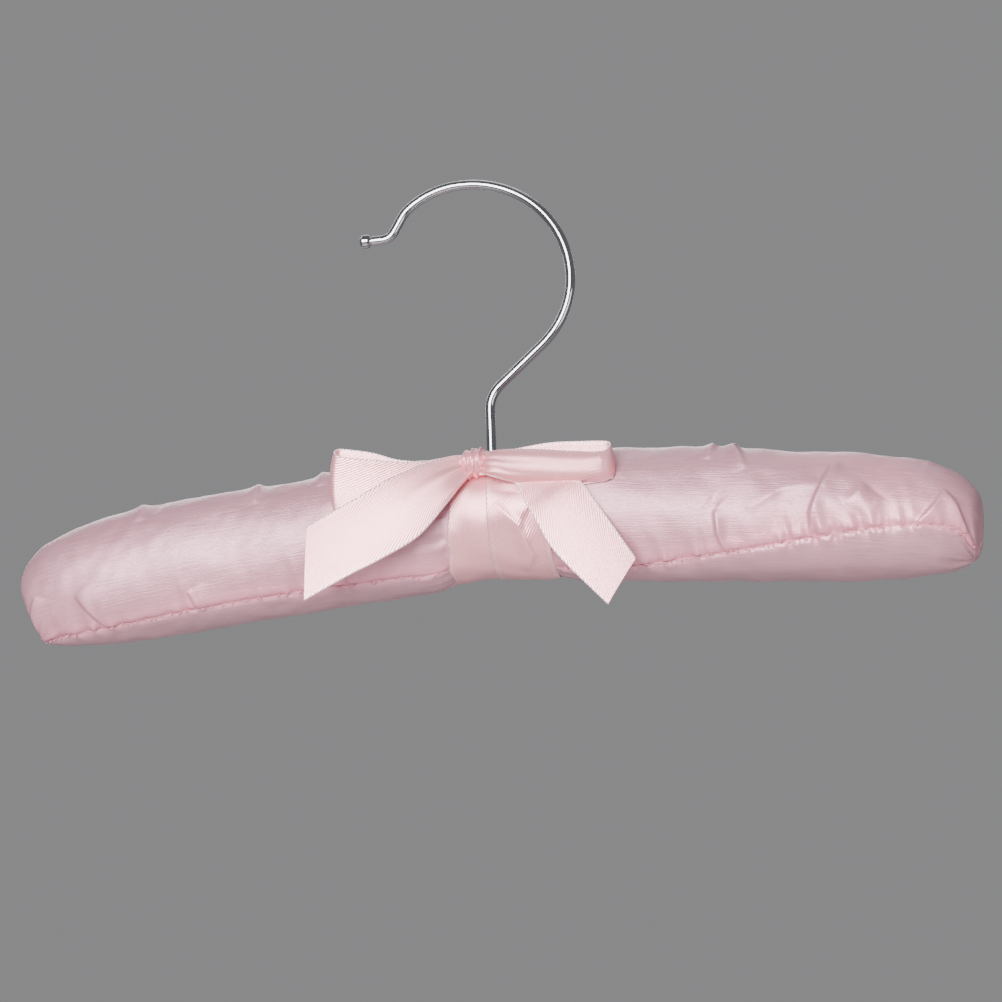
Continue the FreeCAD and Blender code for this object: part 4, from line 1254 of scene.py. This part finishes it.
class HANGER_OT_seams(bpy.types.Operator):
    """Sew the long seam of each sleeve, and bind its inner end to the core"""

    bl_idname = "hanger.seams"
    bl_label = "Seams and bindings"

    def execute(self, context):
        chance = np.random.default_rng(12)
        for word, side in SIDES.items():
            runs = []
            step = sleeve_mm("stitch")
            for place in np.arange(WRAP_EDGE[side] + 3, CORNER_PLACE[side][0] + 1, step):
                runs.append(self.stitch(place, side, step, chance))
                if chance.uniform() < 0.75:
                    runs.append(self.crumb(place, side, step, chance))
            made = thread_curve(f"seam_stitches_{word}", runs, sleeve_mm("thread"), thread())
            stand_for(made, f"seam_thread_{word}")
            self.binding(word)
        return {"FINISHED"}

    def stitch(self, place, side, step, chance):
        """One stitch, dipping into the cloth at both ends."""
        lean = chance.uniform(-1.2, 1.2)
        lift = sleeve_mm("thread")
        line = []
        for share, height in ((0.0, -0.3), (0.25, 0.2), (0.55, 0.3), (0.88, -0.6)):
            at = place + share * step
            angle = float(seam_angle(at, side)) + lean * (share - 0.5)
            line.append(on_sleeve(at, angle, side, height * lift + 0.1))
        return line

    def crumb(self, place, side, step, chance):
        """A small loose loop of thread beside the seam."""
        at = place + chance.uniform(0, step)
        angle = float(seam_angle(at, side)) + chance.uniform(-1.0, 2.6)
        size = chance.uniform(0.35, 0.8)
        lift = sleeve_mm("thread")
        return [
            on_sleeve(at, angle, side, 0.1),
            on_sleeve(at + size, angle + 2.2 * size, side, 0.6 + lift),
            on_sleeve(at + size * 1.6, angle + 0.4, side, 0.8 + lift),
            on_sleeve(at + size * 1.2, angle - 1.4, side, 0.15),
        ]

    def binding(self, word):
        """Three turns of thread round the sleeve's inner end."""
        low, high = box_mm(f"binding_thread_{word}")
        middle, half = (low + high) / 2, (high - low) / 2
        turned = np.linspace(0, 3 * 2 * math.pi, 97)
        radius = 0.25
        line = np.stack([
            middle[0] + (half[0] - radius) * np.linspace(-1, 1, len(turned)),
            middle[1] - (half[1] - radius) * np.cos(turned),
            middle[2] + (half[2] - radius) * np.sin(turned),
        ], 1)
        made = thread_curve(f"wound_thread_{word}", [line], 2 * radius, thread())
        stand_for(made, f"binding_thread_{word}")


RIBBON_PER_DEGREE = 0.38  # millimetres of ribbon round the arm
WRAP_LIFT = 0.3  # millimetres between the satin and the lower turn's middle


class HANGER_OT_wrap(bpy.types.Operator):
    """Wind the ribbon twice round the middle of the hanger"""

    bl_idname = "hanger.wrap"
    bl_label = "Ribbon wrap"

    def execute(self, context):
        width = ribbon_mm("width")
        thick = ribbon_mm("thickness")
        self.wind("wrap_under", WRAP_LOW[0] + 1.6, 3.2, WRAP_LIFT, (0.25, 0.25), [])
        self.wind("wrap_over", WRAP_HIGH[0] - width - 0.3, 0.4, WRAP_LIFT + 2.0 * thick, (0.25, 0.8), [
            ([(4, -2), (12, -22), (15, -50), (12, -72)], 0.9, 1.2, 4.0),
            ([(18, 6), (13, -14), (11, -30)], 0.7, 1.0, 4.5),
            ([(9, 8), (7, -24)], 0.45, 2.4, 3.2),
        ])
        return {"FINISHED"}

    def wind(self, name, start, lean, lift, tucks, folds):
        """One turn of ribbon; lean is how far it runs to the left between its front and underside,
        and tucks are how far its left and right edges turn down."""
        columns, rows = 60, 560
        angles = np.linspace(-180, 180, rows + 1)
        share = np.linspace(0, 1, columns)
        width = ribbon_mm("width")
        shift = lean * np.sin(np.radians(angles))
        x = start + shift[:, None] + width * share[None, :]
        smooth = np.sqrt(x * x + 9)
        centre = ARM_LEVEL - ARM_FALL * smooth
        squeeze = sleeve_mm("squeeze")
        around = np.broadcast_to(angles[:, None] * RIBBON_PER_DEGREE, x.shape)
        waves = 0.16 * slow_waves(x, around, 77, 7, 26)
        relief = lift + waves
        for path, height, left, right in folds:
            line = [(place, angle * RIBBON_PER_DEGREE) for place, angle in path]
            relief = relief + fold(x, around, line, height, left, right)
        from_left, from_right = share[None, :] * width, (1 - share[None, :]) * width
        relief = relief - tucks[0] * np.exp(-from_left / 0.9) - tucks[1] * np.exp(-from_right / 1.6)
        turned = np.radians(angles)[:, None]
        y = -(HALF_DEPTH - squeeze + relief) * np.cos(turned)
        z = centre + (HALF_HEIGHT - squeeze + relief) * np.sin(turned)
        points = np.stack([x, y, z], -1)
        points[-1] = points[0]
        places = reach_along(points[:, columns // 2])
        made = ribbon_piece(name, points, places, share)
        join_seam(made.data)
        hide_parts("ribbon_wrap")


class HANGER_OT_knot(bpy.types.Operator):
    """Tie the bow's knot, with the pleats that run over it"""

    bl_idname = "hanger.knot"
    bl_label = "Bow knot"

    def execute(self, context):
        half = (KNOT_HIGH - KNOT_LOW) / 2
        rows, columns = 90, 160
        lean = np.linspace(-math.pi / 2, math.pi / 2, rows)[:, None]
        turned = np.linspace(0, 2 * math.pi, columns, endpoint=False)[None, :]
        x = half[0] * np.sin(lean) + 0 * turned
        round_off = np.maximum(np.cos(lean), 0) ** 0.42
        pleat = np.sin(2 * math.pi * (x + 0.9 * np.sin(turned + 0.4)) / 2.5 + 0.6)
        fine = np.sin(2 * math.pi * (x - 0.5 * np.cos(turned)) / 1.3)
        swell = 1 + 0.07 * np.sin(turned * 2 + 0.8) + 0.10 * bump(turned, math.pi / 2, 0.5) * (x > 0)
        reach = round_off * swell
        relief = (0.42 * pleat + 0.14 * fine) * round_off
        y = -(half[1] * reach + relief) * np.cos(turned)
        z = ((half[2] - 0.7) * reach + relief) * np.sin(turned) - 0.5
        points = np.stack(np.broadcast_arrays(x + 0.18 * z, y, z), -1) + KNOT
        flow = np.stack(np.broadcast_arrays(
            np.linspace(0, 34, columns + 1)[None, :], np.linspace(0, ribbon_mm("width"), rows)[:, None]), -1)
        mesh = grid_mesh("knot", points, closed=True, flow=flow)
        mark(mesh, "edge", np.zeros((rows, columns)))
        join_seam(mesh)
        made = piece("knot", mesh, ribbon_satin())
        stand_for(made, "bow_knot")
        return {"FINISHED"}


class HANGER_OT_bow(bpy.types.Operator):
    """Shape the bow's two loops and two tails"""

    bl_idname = "hanger.bow"
    bl_label = "Bow loops and tails"

    def execute(self, context):
        behind = ("sleeve_left", "sleeve_right", "wrap_under", "wrap_over")
        for name, stations, crimps, depth, run in STRIPS:
            both = name.startswith("loop")
            made, edge = strip(name, stations, crimps, depth, run, both, behind)
            ribbon_mm("width") * MM
            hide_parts(f"bow_{name}")
        return {"FINISHED"}


class HANGER_PT_panel(bpy.types.Panel):
    """Lists the hanger's pieces and their sizes"""

    bl_label = "Padded Satin Hanger"
    bl_space_type = "VIEW_3D"
    bl_region_type = "UI"
    bl_category = "Hanger"

    def draw(self, context):
        for operator in OPERATORS:
            self.layout.operator(operator.bl_idname)
        for group in GROUPS:
            box = self.layout.box()
            values = getattr(context.scene, group)
            for name in values.bl_rna.properties.keys():
                if name not in {"rna_type", "name"}:
                    box.prop(values, name)


OPERATORS = (
    HANGER_OT_stage, HANGER_OT_hardware, HANGER_OT_wadding, HANGER_OT_sleeves,
    HANGER_OT_seams, HANGER_OT_wrap, HANGER_OT_knot, HANGER_OT_bow,
)
GROUPS = {
    "hanger_sleeve": SleeveSizes,
    "hanger_ribbon": RibbonSizes,
    "hanger_stage": StageSizes,
    "hanger_colours": HangerColours,
}
CLASSES = (*GROUPS.values(), *OPERATORS, HANGER_PT_panel)


def register():
    for made in CLASSES:
        bpy.utils.register_class(made)
    for name, group in GROUPS.items():
        setattr(bpy.types.Scene, name, PointerProperty(type=group))


def unregister():
    for name in GROUPS:
        delattr(bpy.types.Scene, name)
    for made in reversed(CLASSES):
        bpy.utils.unregister_class(made)


def main():
    """Builds every piece in order."""
    register()
    bpy.ops.hanger.stage()
    bpy.ops.hanger.hardware()
    bpy.ops.hanger.wadding()
    bpy.ops.hanger.sleeves()
    bpy.ops.hanger.seams()
    bpy.ops.hanger.wrap()
    bpy.ops.hanger.knot()
    bpy.ops.hanger.bow()


if __name__ == "__main__":
    main()
